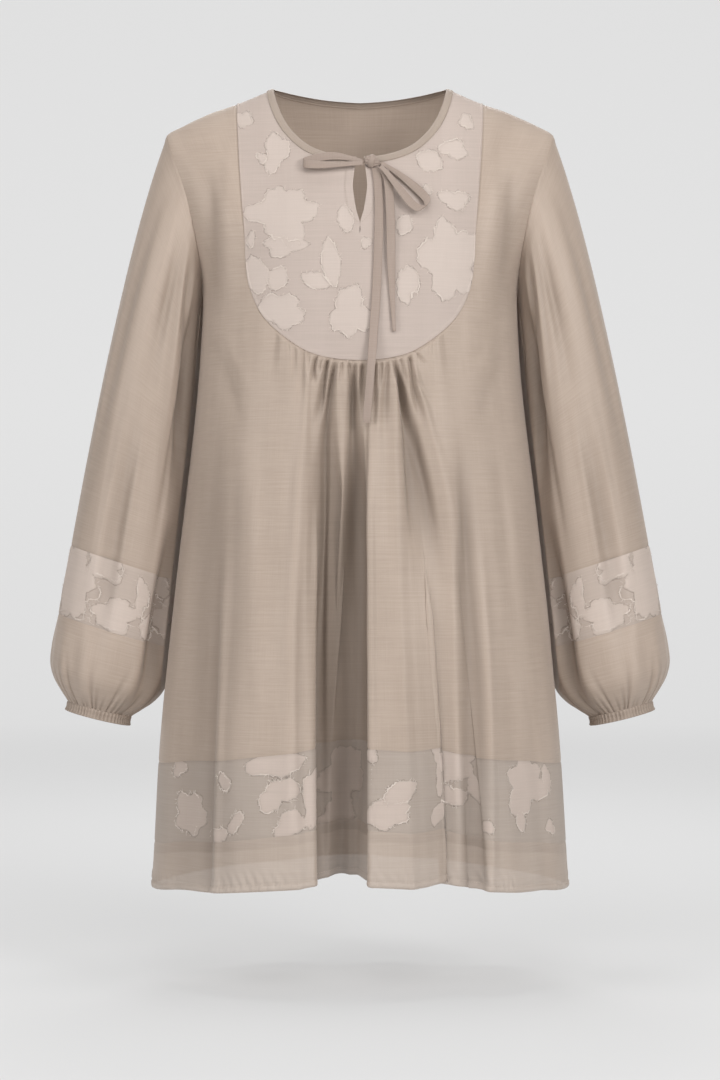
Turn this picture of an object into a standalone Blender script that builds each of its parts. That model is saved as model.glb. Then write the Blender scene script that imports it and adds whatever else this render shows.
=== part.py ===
"""Tunic top in its worn, hollow form: a U-shaped yoke with a neck slit and tie, an A-line body gathered
below the yoke, bishop sleeves with an inset band and elastic cuffs, and a banded hem.

Metres, +Z up, the front faces -Y. The origin lies between the shoulders, level with the neck's side points.
"""

import math
from collections import namedtuple

import bmesh
import bpy
from mathutils import Vector

MM = 0.001
FRONT, BACK = -1, 1
LEFT, RIGHT = -1, 1

# Cloth and seams
WALL = 1.4 * MM
BINDING_WALL = 2.2 * MM
CUFF_WALL = 1.8 * MM
TIE_WALL = 1.6 * MM
SEAM_GAP = 0.3 * MM

# The figure's sections are superellipses, rounded over the shoulders by a second power
SECTION_POWER = 2.2
SHOULDER_POWER = 1.7

Section = namedtuple("Section", "z half_width front back")
TORSO = [
    Section(-800, 208, 138, 131),
    Section(-670, 201, 134, 124),
    Section(-550, 190, 131, 116),
    Section(-430, 177, 129, 109),
    Section(-320, 164, 127, 104),
    Section(-270, 159.5, 125, 104),
    Section(-215, 157, 117, 106),
    Section(-195, 158.1, 111, 107),
    Section(-172, 163, 105, 107),
    Section(-147, 172.4, 99, 106),
    Section(-115, 186, 89, 104),
    Section(-95, 196, 83, 102),
    Section(-69, 209, 75, 100),
    Section(-46, 221, 70, 98),
    Section(0, 240, 62, 95),
    Section(40, 240, 58, 90),
]

Point = namedtuple("Point", "x z")
RIDGE = [
    Point(0, 22),
    Point(45, 13),
    Point(87, 0),
    Point(120, -13.5),
    Point(150, -24),
    Point(175, -35.5),
    Point(193.5, -46),
    Point(215, -64),
]
NECKLINE_FRONT = [
    Point(0, -76),
    Point(22, -73.5),
    Point(40, -68),
    Point(54, -60),
    Point(67, -47),
    Point(76, -33),
    Point(82, -18),
    Point(85, -7),
    Point(86.5, 0.2),
]
NECKLINE_BACK = [
    Point(0, -6),
    Point(30, -5),
    Point(58, -2.5),
    Point(76, -0.5),
    Point(86.5, 0.2),
]
YOKE_SEAM = [
    Point(0, -277.5),
    Point(27, -275.5),
    Point(52, -268),
    Point(78, -250),
    Point(96, -230),
    Point(107, -205),
    Point(111, -180),
    Point(112.5, -150),
    Point(116, -110),
    Point(120, -62),
    Point(123, -12.6),
]
ARMHOLE = [
    Point(157, -215),
    Point(157.5, -195),
    Point(159.5, -172),
    Point(163.5, -147),
    Point(170.5, -115),
    Point(176.5, -95),
    Point(185.5, -69),
    Point(193.5, -46),
]
BINDING_WIDTH = 7 * MM
BINDING_GAP = 0.55 * MM

# Height of each seam across the body, at the centre and at the side
Level = namedtuple("Level", "centre side")
BAND_TOP = Level(-647, -671)
BAND_BOTTOM = Level(-724, -750)
HEM_EDGE = Level(-778, -795)
LEVEL_POWER = 1.4
FOLD_RISE = 0.16

# Columns of cloth in half a panel: how many run from this share of the inner seam to this share of an edge
Fan = namedtuple("Fan", "columns inner_to edge edge_to")
FRONT_FAN = [
    Fan(30, 0.25, "hem", 0.50),
    Fan(4, 0.45, "hem", 1.00),
    Fan(3, 0.60, "side", 1.00),
    Fan(8, 1.00, "armhole", 1.00),
]
BACK_FAN = [
    Fan(7, 0.45, "hem", 0.75),
    Fan(2, 0.55, "hem", 1.00),
    Fan(3, 0.70, "side", 1.00),
    Fan(8, 1.00, "armhole", 1.00),
]
FRONT_ROWS, BACK_ROWS = 11, 12
FRONT_SPACING, BACK_SPACING = 1.9, 1.25

# The neck slit below the centre front, its half width at each height
Slit = namedtuple("Slit", "z half_width")
SLIT = [
    Slit(-280, 0.2),
    Slit(-230, 0.4),
    Slit(-160, 0.7),
    Slit(-143, 0.75),
    Slit(-130, 3.4),
    Slit(-106, 6.8),
    Slit(-92, 5.8),
    Slit(-76, 3.6),
]
YOKE_COLUMNS = 20
YOKE_ROWS = [0, 0.08, 0.16, 0.24, 0.32, 0.48, 0.65, 0.82, 1]

# Hanging folds: edges as shares of the half width, at the yoke and at the hem; depth is outwards at the hem
Fold = namedtuple("Fold", "side top_left top_right hem_left hem_right soft_left soft_right depth starts")
FOLDS = [
    Fold(FRONT, -0.95, -0.80, -0.93, -0.80, 0.10, 0.14, -7, -220),
    Fold(FRONT, -0.74, -0.34, -0.74, -0.24, 0.20, 0.10, 13, -250),
    Fold(FRONT, -0.29, -0.13, -0.19, -0.09, 0.07, 0.09, -25, -283),
    Fold(FRONT, -0.07, 0.00, -0.11, 0.01, 0.09, 0.05, -32, -290),
    Fold(FRONT, 0.05, 0.22, 0.045, 0.28, 0.035, 0.09, 14, -283),
    Fold(FRONT, 0.28, 0.36, 0.33, 0.44, 0.08, 0.16, -21, -283),
    Fold(FRONT, 0.44, 0.56, 0.56, 0.78, 0.09, 0.14, 9, -240),
    Fold(FRONT, 0.70, 0.78, 0.84, 0.90, 0.08, 0.06, -5, -200),
    Fold(BACK, -0.80, -0.62, -0.82, -0.60, 0.12, 0.14, -12, -260),
    Fold(BACK, -0.50, -0.30, -0.52, -0.28, 0.16, 0.14, 11, -240),
    Fold(BACK, -0.18, -0.06, -0.20, -0.04, 0.10, 0.12, -14, -230),
    Fold(BACK, 0.10, 0.24, 0.08, 0.26, 0.12, 0.12, 12, -250),
    Fold(BACK, 0.34, 0.46, 0.34, 0.50, 0.10, 0.14, -16, -240),
    Fold(BACK, 0.60, 0.80, 0.62, 0.82, 0.14, 0.12, 10, -270),
]
FOLD_TOP, FOLD_HEM = -280 * MM, -780 * MM

# Gathers held by the yoke's lower edge
GATHERS_EACH_SIDE = 7.5
GATHER_DEPTH = 2.3 * MM
GATHER_LENGTH = 60 * MM
GATHER_PUFF = 3.5 * MM

# Sleeve sections below the inset band's top; tilt lifts the outer side
Ring = namedtuple("Ring", "along x y z tilt half_width half_depth")
SLEEVE = [
    Ring(0, 236, 20, -473, 18, 57.5, 57),
    Ring(70, 246.5, 22, -541, 17, 59.5, 59),
    Ring(88, 249, 22, -558, 16.5, 60.5, 60),
    Ring(106, 252, 22, -575, 16, 60, 59.5),
    Ring(122, 255.5, 21, -590, 15, 57, 56),
    Ring(135, 258.5, 21, -602.5, 14.5, 50, 49),
    Ring(145, 260.5, 20, -612, 14, 41, 40),
    Ring(152, 262, 20, -619, 14, 33.5, 33),
    Ring(157, 263, 20, -623.5, 14, 31.5, 31),
    Ring(162, 264, 20, -628.5, 14, 33.5, 33),
]
BAND_END, PUFF_END, CUFF_END = 70, 152, 162
SLEEVE_COLUMNS = 24
SLEEVE_ROWS, BAND_ROWS, PUFF_ROWS, CUFF_ROWS = 11, 2, 5, 1
PUFF_GATHERS, CUFF_RIBS = 24, 30
PUFF_GATHER_DEPTH, CUFF_RIB_DEPTH = 1.8 * MM, 0.7 * MM
BODY_CLEARANCE = 4.5 * MM

# How a line of sleeve cloth leaves the armhole, at the shoulder and at the underarm
LEAVING_SHOULDER = Vector((0.115, 0.0, -0.30))
LEAVING_UNDERARM = Vector((0.03, 0.0, -0.24))
ARRIVING = 0.36
ARMHOLE_SEAM, UNDERARM_SEAM = 1.5 * MM, 1.9 * MM

# Sleeve folds: angle 0 is outermost, 90 the front, 180 innermost; start and end are shares of the upper sleeve
SleeveFold = namedtuple("SleeveFold", "angle half_angle depth start peak end")
SLEEVE_FOLDS = [
    SleeveFold(52, 22, 3.5, 0.04, 0.35, 1.05),
    SleeveFold(84, 18, -6.5, 0.02, 0.30, 0.62),
    SleeveFold(112, 16, 4.0, 0.10, 0.45, 1.00),
    SleeveFold(142, 20, -15, 0.06, 0.42, 0.86),
    SleeveFold(78, 17, -8.0, 0.55, 0.90, 1.35),
    SleeveFold(246, 24, -9.0, 0.05, 0.40, 1.00),
    SleeveFold(300, 22, 4.0, 0.15, 0.60, 1.20),
]

# Tie: a knot at the slit's top, two loops and two free ends, lying on the front. Lift is in front of the cloth
TIE_WIDTH = 8.5 * MM
KNOT = Point(11.5, -81)
KNOT_SIZE = Vector((16, 9, 12)) * MM
KNOT_LIFT = 6.3 * MM
Step = namedtuple("Step", "x z lift")
LOOP_LEFT = [
    Step(3.2, -81, 3.6),
    Step(-10, -77.5, 3.2),
    Step(-25, -75, 3.6),
    Step(-41, -76.5, 3.8),
    Step(-53.5, -80, 4.4),
    Step(-55.5, -82, 7.4),
    Step(-51, -84, 10.4),
    Step(-38, -85, 10.4),
    Step(-19, -84.5, 9.5),
    Step(2.6, -83, 7.5),
]
LOOP_RIGHT = [
    Step(20.2, -82, 3.6),
    Step(34, -91, 3.6),
    Step(49, -103, 4),
    Step(61.5, -115, 4.6),
    Step(65.5, -123, 7),
    Step(61, -129, 10.2),
    Step(52.5, -127, 11.2),
    Step(40.5, -113, 11.5),
    Step(28, -96, 11),
    Step(20, -86.3, 8),
]
LONG_END = [
    Step(15.5, -87.2, 2.4),
    Step(17.5, -104, 2.6),
    Step(18.5, -132, 2.6),
    Step(17.5, -170, 2.6),
    Step(15.5, -215, 2.6),
    Step(13, -250, 4.5),
    Step(10.5, -285, 9.5),
    Step(6, -338, 8),
]
SHORT_END = [
    Step(23.5, -90, 5.8),
    Step(27.5, -103, 6.6),
    Step(29.5, -140, 5),
    Step(30, -175, 3.4),
    Step(31, -215, 3),
    Step(33, -250, 3),
]


def table(rows, key, value, at):
    """Column value of a table, where column key is at, on a smooth curve through the rows."""
    at = min(max(at, getattr(rows[0], key)), getattr(rows[-1], key))
    last = len(rows) - 1
    i = next(n for n in range(last) if at <= getattr(rows[n + 1], key))
    keys = [getattr(rows[n], key) for n in range(last + 1)]
    values = [getattr(rows[n], value) for n in range(last + 1)]

    def slope(n):
        low, high = max(n - 1, 0), min(n + 1, last)
        return (values[high] - values[low]) / (keys[high] - keys[low])

    step = keys[i + 1] - keys[i]
    t = (at - keys[i]) / step
    return hermite(values[i], slope(i) * step, values[i + 1], slope(i + 1) * step, t)


def hermite(start, leaving, end, arriving, t):
    return (
        start * (2 * t**3 - 3 * t**2 + 1)
        + leaving * (t**3 - 2 * t**2 + t)
        + end * (3 * t**2 - 2 * t**3)
        + arriving * (t**3 - t**2)
    )


def ease(t):
    t = min(max(t, 0.0), 1.0)
    return t * t * (3 - 2 * t)


def mix(a, b, t):
    return a + (b - a) * t


def unevenness(n):
    """A repeatable value from 0 to 1 for the nth of a row of gathers."""
    return math.modf(abs(math.sin(n * 12.9898 + 4.1) * 43758.5453))[0]


# The torso's surface. A place on it is (across, drop): across runs from -1 to 1 between the side seams,
# drop is the height below the shoulder ridge


def ridge(x):
    return table(RIDGE, "x", "z", abs(x) / MM) * MM


def half_width(z):
    return table(TORSO, "z", "half_width", z / MM) * MM


def depth_of(side, z):
    return table(TORSO, "z", "front" if side == FRONT else "back", z / MM) * MM


def sideways(across):
    share = abs(math.sin(across * math.pi / 2)) ** (2 / SECTION_POWER)
    return math.copysign(share, across)


def fold_depth(side, share, z):
    """How far the hanging folds push the cloth out at a share of the half width."""
    down = (FOLD_TOP - z) / (FOLD_TOP - FOLD_HEM)
    total = 0.0
    for fold in FOLDS:
        if fold.side != side:
            continue
        left = mix(fold.top_left, fold.hem_left, down)
        right = mix(fold.top_right, fold.hem_right, down)
        inside = ease((share - left) / fold.soft_left + 0.5) * ease((right - share) / fold.soft_right + 0.5)
        grown = ease((fold.starts * MM - z) / (fold.starts * MM - FOLD_HEM))
        total += fold.depth * MM * inside * mix(grown, math.sqrt(grown), 0.6)
    return total * (1 - share**6)


def torso(side, across, drop, out=0.0):
    """A point of the cloth's middle surface, moved out from the body by out."""
    x = half_width(-drop) * sideways(across)
    for _ in range(8):
        z = ridge(x) - drop
        x = half_width(z) * sideways(across)
    reach = min(max((abs(x) - 0.080) / 0.110, 0.0), 1.0)
    rounding = mix(0.150 if side == FRONT else 0.120, 0.090, reach)
    over = (1 - (1 - min(drop / rounding, 1.0)) ** SHOULDER_POWER) ** (1 / SHOULDER_POWER) if drop > 0 else 0.0
    bulge = max(math.cos(across * math.pi / 2), 0.0) ** (2 / SECTION_POWER)
    depth = depth_of(side, z) * over * bulge + fold_depth(side, sideways(across), z) + out
    return Vector((x, side * (depth + SEAM_GAP / 2), z))


def place_of(x, z):
    """The (across, drop) of a place given by its x and height."""
    share = min(abs(x) / half_width(z), 1.0) ** (SECTION_POWER / 2)
    return Vector((math.copysign(2 / math.pi * math.asin(share), x), max(ridge(x) - z, 0.0)))


def level_of(level, side, across):
    """The (across, drop) of a level seam, which sinks towards the sides and rises where the cloth folds in."""
    z = mix(level.centre, level.side, abs(sideways(across)) ** LEVEL_POWER) * MM
    z -= FOLD_RISE * fold_depth(side, sideways(across), z)
    x = half_width(z) * sideways(across)
    return Vector((across, ridge(x) - z))


def slopes(side, across, drop):
    """How the torso's cloth runs there, for a step across and for a step down."""
    step, above = 0.2 * MM, max(drop - 0.2 * MM, 0.0)
    along = (torso(side, across + step, drop) - torso(side, across - step, drop)) / (2 * step)
    down = (torso(side, across, drop + step) - torso(side, across, above)) / (drop + step - above)
    return along, down


def facing(side, across, drop):
    """Which way the torso's cloth faces there."""
    along, down = slopes(side, across, drop)
    return (along.cross(down) * side).normalized()


class Seam:
    """Half a seam on the torso, from the centre to the shoulder, measured by its length in space."""

    FINE = 240

    def __init__(self, side, rows, moved=0.0):
        flat = [self.between(rows, n / self.FINE) for n in range(self.FINE + 1)]
        self.side = side
        self.places = [place_of(point.x, point.y) for point in flat]
        if moved:
            self.places = self.beside(moved)
        spots = [torso(side, *place) for place in self.places]
        self.lengths = [0.0]
        for a, b in zip(spots, spots[1:]):
            self.lengths.append(self.lengths[-1] + (b - a).length)

    @staticmethod
    def between(rows, share):
        """A point of the smooth curve through the rows, in metres."""
        spot = share * (len(rows) - 1)
        i = min(int(spot), len(rows) - 2)
        corners = [Vector((rows[min(max(n, 0), len(rows) - 1)][:2])) for n in range(i - 1, i + 3)]
        if i == 0:
            corners[0] = Vector((-corners[2].x, corners[2].y)) if rows[0].x == 0 else corners[1]
        leaving, arriving = (corners[2] - corners[0]) / 2, (corners[3] - corners[1]) / 2
        return hermite(corners[1], leaving, corners[2], arriving, spot - i) * MM

    def beside(self, distance):
        """The places of the same curve moved along the cloth, away from the neck."""
        spots = [torso(self.side, *place) for place in self.places]
        moved = []
        for n, place in enumerate(self.places):
            ahead = spots[min(n + 1, self.FINE)] - spots[max(n - 1, 0)]
            along, down = slopes(self.side, *place)
            away = ahead.cross(down.cross(along)).normalized() * distance
            shared = along.dot(down)
            size = along.dot(along) * down.dot(down) - shared * shared
            across = (away.dot(along) * down.dot(down) - away.dot(down) * shared) / size
            drop = (away.dot(down) * along.dot(along) - away.dot(along) * shared) / size
            moved.append(place + Vector((across, drop * ease(place.y / (6 * MM)))))
        return moved

    def at(self, share, chords=0):
        """The place at a share of the length; with chords, on the straight lines between that many points."""
        if chords:
            first = min(int(share * chords + 1e-6), chords - 1)
            ends = self.at(first / chords), self.at((first + 1) / chords)
            return ends[0].lerp(ends[1], share * chords - first)
        wanted = share * self.lengths[-1]
        n = next((k for k in range(1, self.FINE) if self.lengths[k] >= wanted), self.FINE)
        step = max(self.lengths[n] - self.lengths[n - 1], 1e-9)
        return self.places[n - 1].lerp(self.places[n], min((wanted - self.lengths[n - 1]) / step, 1.0))


def fan_columns(fan):
    """(inner share, edge, edge share) of each line of cloth in half a panel, from the centre outwards."""
    lines = [(0.0, fan[0].edge, 0.0)]
    for n, part in enumerate(fan):
        inner_from = fan[n - 1].inner_to if n else 0.0
        edge_from = fan[n - 1].edge_to if n and fan[n - 1].edge == part.edge else 0.0
        for step in range(1, part.columns + 1):
            share = step / part.columns
            lines.append((mix(inner_from, part.inner_to, share), part.edge, mix(edge_from, part.edge_to, share)))
    return lines


def hem_across(fan):
    """Where the lines of a panel cross the hem seam, from one side to the other."""
    half = [share for _, edge, share in fan_columns(fan) if edge == "hem"]
    return [-share for share in half[:0:-1]] + half


def trimmed(start, end, share, first_gap, last_gap, length):
    """A place between start and end, kept a seam's gap from each."""
    return start.lerp(end, mix(first_gap / length, 1 - last_gap / length, share))


# Building


def sheet(name, columns, rows, place, edge_facing=None, wall=WALL, closed=False, slit=None):
    """A cloth piece: a grid laid on place(column, row) and given its thickness.

    At its edges the thickness follows edge_facing(column, row), so that neighbours meet squarely.
    """
    cloth = bmesh.new()
    bmesh.ops.create_grid(cloth, x_segments=columns, y_segments=rows, size=0.5)
    ways = {}
    for vertex in cloth.verts:
        column, row = round((vertex.co.x + 0.5) * columns), round((vertex.co.y + 0.5) * rows)
        vertex.co = place(column, row)
        if row in (0, rows) or column in (0, columns) and not closed:
            ways[vertex] = edge_facing(column, row) if edge_facing else None
    if slit:
        bmesh.ops.delete(cloth, geom=[face for face in cloth.faces if slit(face)], context="FACES")
    if closed:
        seam = bmesh.ops.find_doubles(cloth, verts=cloth.verts, dist=0.01 * MM)["targetmap"]
        bmesh.ops.weld_verts(cloth, targetmap=seam)
    cloth.normal_update()
    return finished(name, thickened(cloth, ways, wall))


def thickened(cloth, ways, wall):
    """Gives a sheet a wall, half of it to each side."""
    set_ways = {vertex: way for vertex, way in ways.items() if way and vertex.is_valid}
    outwards = 1 if sum(way.dot(vertex.normal) for vertex, way in set_ways.items()) > 0 else -1
    halves = {vertex: vertex.normal * wall / 2 for vertex in cloth.verts}
    halves.update({vertex: way * outwards * wall / 2 for vertex, way in set_ways.items()})
    rim = [edge for edge in cloth.edges if edge.is_boundary]
    under = bmesh.ops.duplicate(cloth, geom=cloth.verts[:] + cloth.edges[:] + cloth.faces[:])
    twin = under["vert_map"]
    for vertex, half in halves.items():
        twin[vertex].co = vertex.co - half
        vertex.co = vertex.co + half
    for edge in rim:
        loop = edge.link_loops[0]
        a, b = loop.vert, loop.link_loop_next.vert
        cloth.faces.new((b, a, twin[a], twin[b]))
    bmesh.ops.reverse_faces(cloth, faces=[item for item in under["geom"] if isinstance(item, bmesh.types.BMFace)])
    bmesh.ops.recalc_face_normals(cloth, faces=cloth.faces)
    return cloth


def finished(name, shape):
    mesh = bpy.data.meshes.new(name)
    shape.to_mesh(mesh)
    shape.free()
    piece = bpy.data.objects.new(name, mesh)
    GARMENT.objects.link(piece)
    return piece


def front_gather(seam_share, below):
    """The gathers' push at a share of half the yoke seam, and at a distance below the seam."""
    reach = FRONT_FAN[0].inner_to
    if abs(seam_share) > reach:
        return 0.0
    spot = abs(seam_share) / reach * GATHERS_EACH_SIDE
    number = round(spot) * (1 if seam_share >= 0 else -1)
    length = GATHER_LENGTH * mix(0.55, 1.5, unevenness(number))
    depth = GATHER_DEPTH * mix(0.65, 1.25, unevenness(number + 31))
    rises, fades = ease(below / (4 * MM)), 1 - ease(below / length)
    edge = ease((reach - abs(seam_share)) / (0.12 * reach))
    puff = GATHER_PUFF * rises * (1 - ease(below / (60 * MM))) * edge
    return depth * math.cos(2 * math.pi * spot) * rises * fades * edge + puff


def torso_panel(name, side, seam, fan, rows, spacing):
    """A front or back panel, spread like a fan from its inner seam to the hem, sides and armholes."""
    half = fan_columns(fan)
    lines = [(-inner, edge, -share) for inner, edge, share in half[:0:-1]] + half
    armhole = Seam(side, ARMHOLE)

    def outer(edge, share):
        if edge == "hem":
            return level_of(BAND_TOP, side, share)
        if edge == "side":
            corner, top = level_of(BAND_TOP, side, math.copysign(1.0, share)), place_of(0.157, -0.215)
            return Vector((corner.x, mix(corner.y, top.y, abs(share))))
        place = armhole.at(abs(share))
        return Vector((math.copysign(place.x, share), place.y))

    def spot(column, row):
        inner, edge, share = lines[column]
        start, end = seam.at(abs(inner), YOKE_COLUMNS if side == FRONT else 0), outer(edge, share)
        start.x = math.copysign(start.x, inner) if inner else 0.0
        length = (torso(side, *end) - torso(side, *start)).length
        down = (row / rows) ** spacing
        place = trimmed(start, end, down, 0.0, SEAM_GAP / 2 if edge == "hem" else 0.0, length)
        return place, front_gather(inner, down * length) if side == FRONT else 0.0

    def place(column, row):
        flat, push = spot(column, row)
        return torso(side, *flat, out=push)

    return sheet(name, len(lines) - 1, rows, place, lambda column, row: facing(side, *spot(column, row)[0]))


def hem_piece(name, side, fan, top, bottom, rows, last):
    """A band round half the hem, between two level seams."""
    across = hem_across(fan)
    height = abs(bottom.centre - top.centre) * MM

    def spot(column, row):
        start, end = level_of(top, side, across[column]), level_of(bottom, side, across[column])
        return trimmed(start, end, row / rows, SEAM_GAP / 2, 0.0 if last else SEAM_GAP / 2, height)

    return sheet(
        name,
        len(across) - 1,
        rows,
        lambda column, row: torso(side, *spot(column, row)),
        lambda column, row: facing(side, *spot(column, row)),
    )


def slit_shift(z, share):
    """How far the neck slit pushes a line of the yoke aside, at a share of half the yoke from the centre."""
    return table(SLIT, "z", "half_width", z / MM) * MM * (1 - share) ** 4


def yoke(neck, seam):
    """The yoke, a U round the neckline, parted at the centre by the slit."""
    count = YOKE_COLUMNS

    def spot(column, row):
        half = RIGHT if column > count else LEFT
        share = (column - count - 1 if half == RIGHT else count - column) / count
        start, end = neck.at(share), seam.at(share)
        flat = start.lerp(end, YOKE_ROWS[row])
        drawn = torso(FRONT, *flat)
        flat.x = place_of(drawn.x + slit_shift(drawn.z, share), drawn.z).x * half
        return flat

    def above_tip(face):
        centre = face.calc_center_median()
        return abs(centre.x) < 0.2 * MM and centre.z > SLIT[2].z * MM

    return sheet(
        "yoke",
        2 * count + 1,
        len(YOKE_ROWS) - 1,
        lambda column, row: torso(FRONT, *spot(column, row)),
        lambda column, row: facing(FRONT, *spot(column, row)),
        slit=above_tip,
    )


def neck_binding(front, back):
    """The strip that binds the neckline, all round from one side of the slit to the other."""
    back_lines = [inner for inner, _, _ in fan_columns(BACK_FAN)]
    front_lines = [n / YOKE_COLUMNS for n in range(YOKE_COLUMNS + 1)]
    half = [(FRONT, share) for share in front_lines] + [(BACK, share) for share in back_lines[-2::-1]]
    lines = [(LEFT, *line) for line in half] + [(RIGHT, *line) for line in half[-2::-1]]

    def spot(column, row):
        half, side, share = lines[column]
        opening, outside, _ = front if side == FRONT else back
        return half, side, share, opening.at(share).lerp(outside.at(share), row)

    def place(column, row):
        half, side, share, flat = spot(column, row)
        drawn = torso(side, *flat)
        drawn.y -= side * SEAM_GAP / 2
        if side == FRONT:
            drawn.x += slit_shift(drawn.z, share)
        return mirrored(drawn, half)

    def edge_facing(column, row):
        half, side, _, flat = spot(column, row)
        return mirrored(facing(side, *flat), half)

    return sheet("neck_binding", len(lines) - 1, 1, place, edge_facing, wall=BINDING_WALL)


def mirrored(point, side):
    return Vector((point.x * side, point.y, point.z))


# Sleeves, drawn on the right side and mirrored by side


def ring_way(along, angle):
    """The way out of the lower sleeve's section; angle 0 is outermost and 90 degrees the front."""
    tilt = math.radians(table(SLEEVE, "along", "tilt", along))
    outwards = Vector((math.cos(tilt), 0.0, math.sin(tilt)))
    return outwards * math.cos(angle) + Vector((0, -1, 0)) * math.sin(angle)


def ring_point(along, angle, out=0.0):
    row = {name: table(SLEEVE, "along", name, along) for name in Ring._fields[1:]}
    centre = Vector((row["x"], row["y"], row["z"])) * MM
    way = ring_way(along, angle)
    wide, deep = row["half_width"] * MM + out, row["half_depth"] * MM + out
    return centre + Vector((way.x * wide, way.y * deep, way.z * wide))


def clear_of_body(point):
    """Flattens the sleeve where it would touch the body's side."""
    if point.z > ARMHOLE[0].z * MM:
        return point
    depth = depth_of(FRONT if point.y < 0 else BACK, point.z)
    inside = max(1 - (abs(point.y) / depth) ** SECTION_POWER, 0.0) ** (1 / SECTION_POWER)
    below = (ARMHOLE[0].z * MM - point.z) / (60 * MM)
    nearest = half_width(point.z) * inside + mix(UNDERARM_SEAM, BODY_CLEARANCE, ease(below))
    return Vector((max(point.x, nearest), point.y, point.z))


def sleeve_fold(angle, share):
    """How far the sleeve's folds push its cloth out."""
    total = 0.0
    for fold in SLEEVE_FOLDS:
        away = abs((math.degrees(angle) - fold.angle + 180) % 360 - 180) / fold.half_angle
        if away >= 1 or not fold.start < share < fold.end:
            continue
        near, far = fold.peak - fold.start, fold.end - fold.peak
        long = ease((share - fold.start) / near) * ease((fold.end - share) / far)
        total += fold.depth * MM * math.cos(away * math.pi / 2) ** 2 * long
    return total


def upper_sleeve(name, side):
    """From the armhole, line by line, to the inset band."""
    half = SLEEVE_COLUMNS // 2
    armholes = {FRONT: Seam(FRONT, ARMHOLE), BACK: Seam(BACK, ARMHOLE)}

    def place(column, row):
        angle = math.pi * (1 - column / half)
        face = FRONT if column <= half else BACK
        up = column / half if face == FRONT else 2 - column / half
        start = torso(face, *armholes[face].at(up))
        if up in (0.0, 1.0):
            start.y = 0.0
        start.x += mix(UNDERARM_SEAM, ARMHOLE_SEAM, ease(up * 2.5))
        end = ring_point(0, angle)
        axis = (ring_point(1, angle) - end).normalized()
        leaving = LEAVING_UNDERARM.lerp(LEAVING_SHOULDER, (1 + math.cos(angle)) / 2)
        leaving.y -= 0.05 * math.sin(angle)
        down = row / SLEEVE_ROWS * (1 - SEAM_GAP / (2 * (end - start).length))
        spot = hermite(start, leaving, end, axis * ARRIVING, down)
        spot += Vector((math.cos(angle), -math.sin(angle), 0.0)) * sleeve_fold(angle, down)
        return mirrored(clear_of_body(spot) if row else spot, side)

    def edge_facing(column, row):
        return mirrored(ring_way(0, math.pi * (1 - column / half)), side) if row else None

    return sheet(name, SLEEVE_COLUMNS, SLEEVE_ROWS, place, edge_facing, closed=True)


def sleeve_ring(name, side, start, end, columns, rows, push, wall=WALL, last=False):
    """A length of sleeve between two distances below the band's top."""
    gap = SEAM_GAP / (2 * MM)

    def spot(column, row):
        return mix(start + gap, end - (0.0 if last else gap), row / rows), math.pi * (1 - 2 * column / columns)

    def place(column, row):
        along, angle = spot(column, row)
        return mirrored(clear_of_body(ring_point(along, angle, push(along, angle, column % columns))), side)

    def edge_facing(column, row):
        return mirrored(ring_way(*spot(column, row)), side)

    return sheet(name, columns, rows, place, edge_facing, wall=wall, closed=True)


def band_push(along, angle, column):
    return sleeve_fold(angle, 1 + along * MM / 0.43)


def puff_push(along, angle, column):
    """Folds from above that give way to gathers near the cuff."""
    down = (along - BAND_END) / (PUFF_END - BAND_END)
    wave = (-1) ** column * mix(0.55, 1.2, unevenness(column // 2))
    return band_push(along, angle, column) * (1 - ease(down)) + PUFF_GATHER_DEPTH * wave * ease(down)


def cuff_push(along, angle, column):
    return CUFF_RIB_DEPTH * (-1) ** column


def sleeve(word, side):
    upper_sleeve(f"sleeve_{word}", side)
    sleeve_ring(f"sleeve_band_{word}", side, 0, BAND_END, SLEEVE_COLUMNS, BAND_ROWS, band_push)
    sleeve_ring(f"sleeve_puff_{word}", side, BAND_END, PUFF_END, 2 * PUFF_GATHERS, PUFF_ROWS, puff_push)
    sleeve_ring(
        f"cuff_{word}", side, PUFF_END, CUFF_END, 2 * CUFF_RIBS, CUFF_ROWS, cuff_push, wall=CUFF_WALL, last=True
    )


# The tie


def on_front(x, z, lift):
    """A point in front of the yoke or the panel below it."""
    place = place_of(x, z)
    return torso(FRONT, place.x, place.y, out=lift)


def strip(name, steps, rows_each, narrows=0.0, loop=False):
    """A strip of cloth along a line of steps; a loop keeps its strip facing one way as it turns."""
    rows = rows_each * (len(steps) - 1)
    fine = [Seam.between(steps, n / rows) for n in range(rows + 1)]
    lifts = [Step(n, 0, step.lift) for n, step in enumerate(steps)]
    middle = fine[rows // 2] - fine[0]

    def place(column, row):
        ahead = middle if loop else fine[min(row + 1, rows)] - fine[max(row - 1, 0)]
        across = Vector((-ahead.y, ahead.x)).normalized()
        pinch = mix(0.5, 1.0, ease(min(row, rows - row) / (0.3 * rows))) if loop else 1.0
        width = TIE_WIDTH * pinch * (1 - narrows * ease((row / rows - 0.55) / 0.45))
        spot = fine[row] + across * width * (0.5 - column)
        return on_front(spot.x, spot.y, table(lifts, "x", "lift", row / rows_each) * MM)

    return sheet(name, 1, rows, place, wall=TIE_WALL)


def tie_knot():
    """The knot, a small rounded lump wider than it is deep."""
    lump = bmesh.new()
    bmesh.ops.create_uvsphere(lump, u_segments=12, v_segments=8, radius=0.5)
    centre = on_front(KNOT.x * MM, KNOT.z * MM, KNOT_LIFT)
    for vertex in lump.verts:
        ripple = 1 + 0.07 * math.cos(5 * math.atan2(vertex.co.z, vertex.co.x))
        vertex.co = centre + Vector(a * b for a, b in zip(vertex.co, KNOT_SIZE)) * ripple
    return finished("tie_knot", lump)


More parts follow.
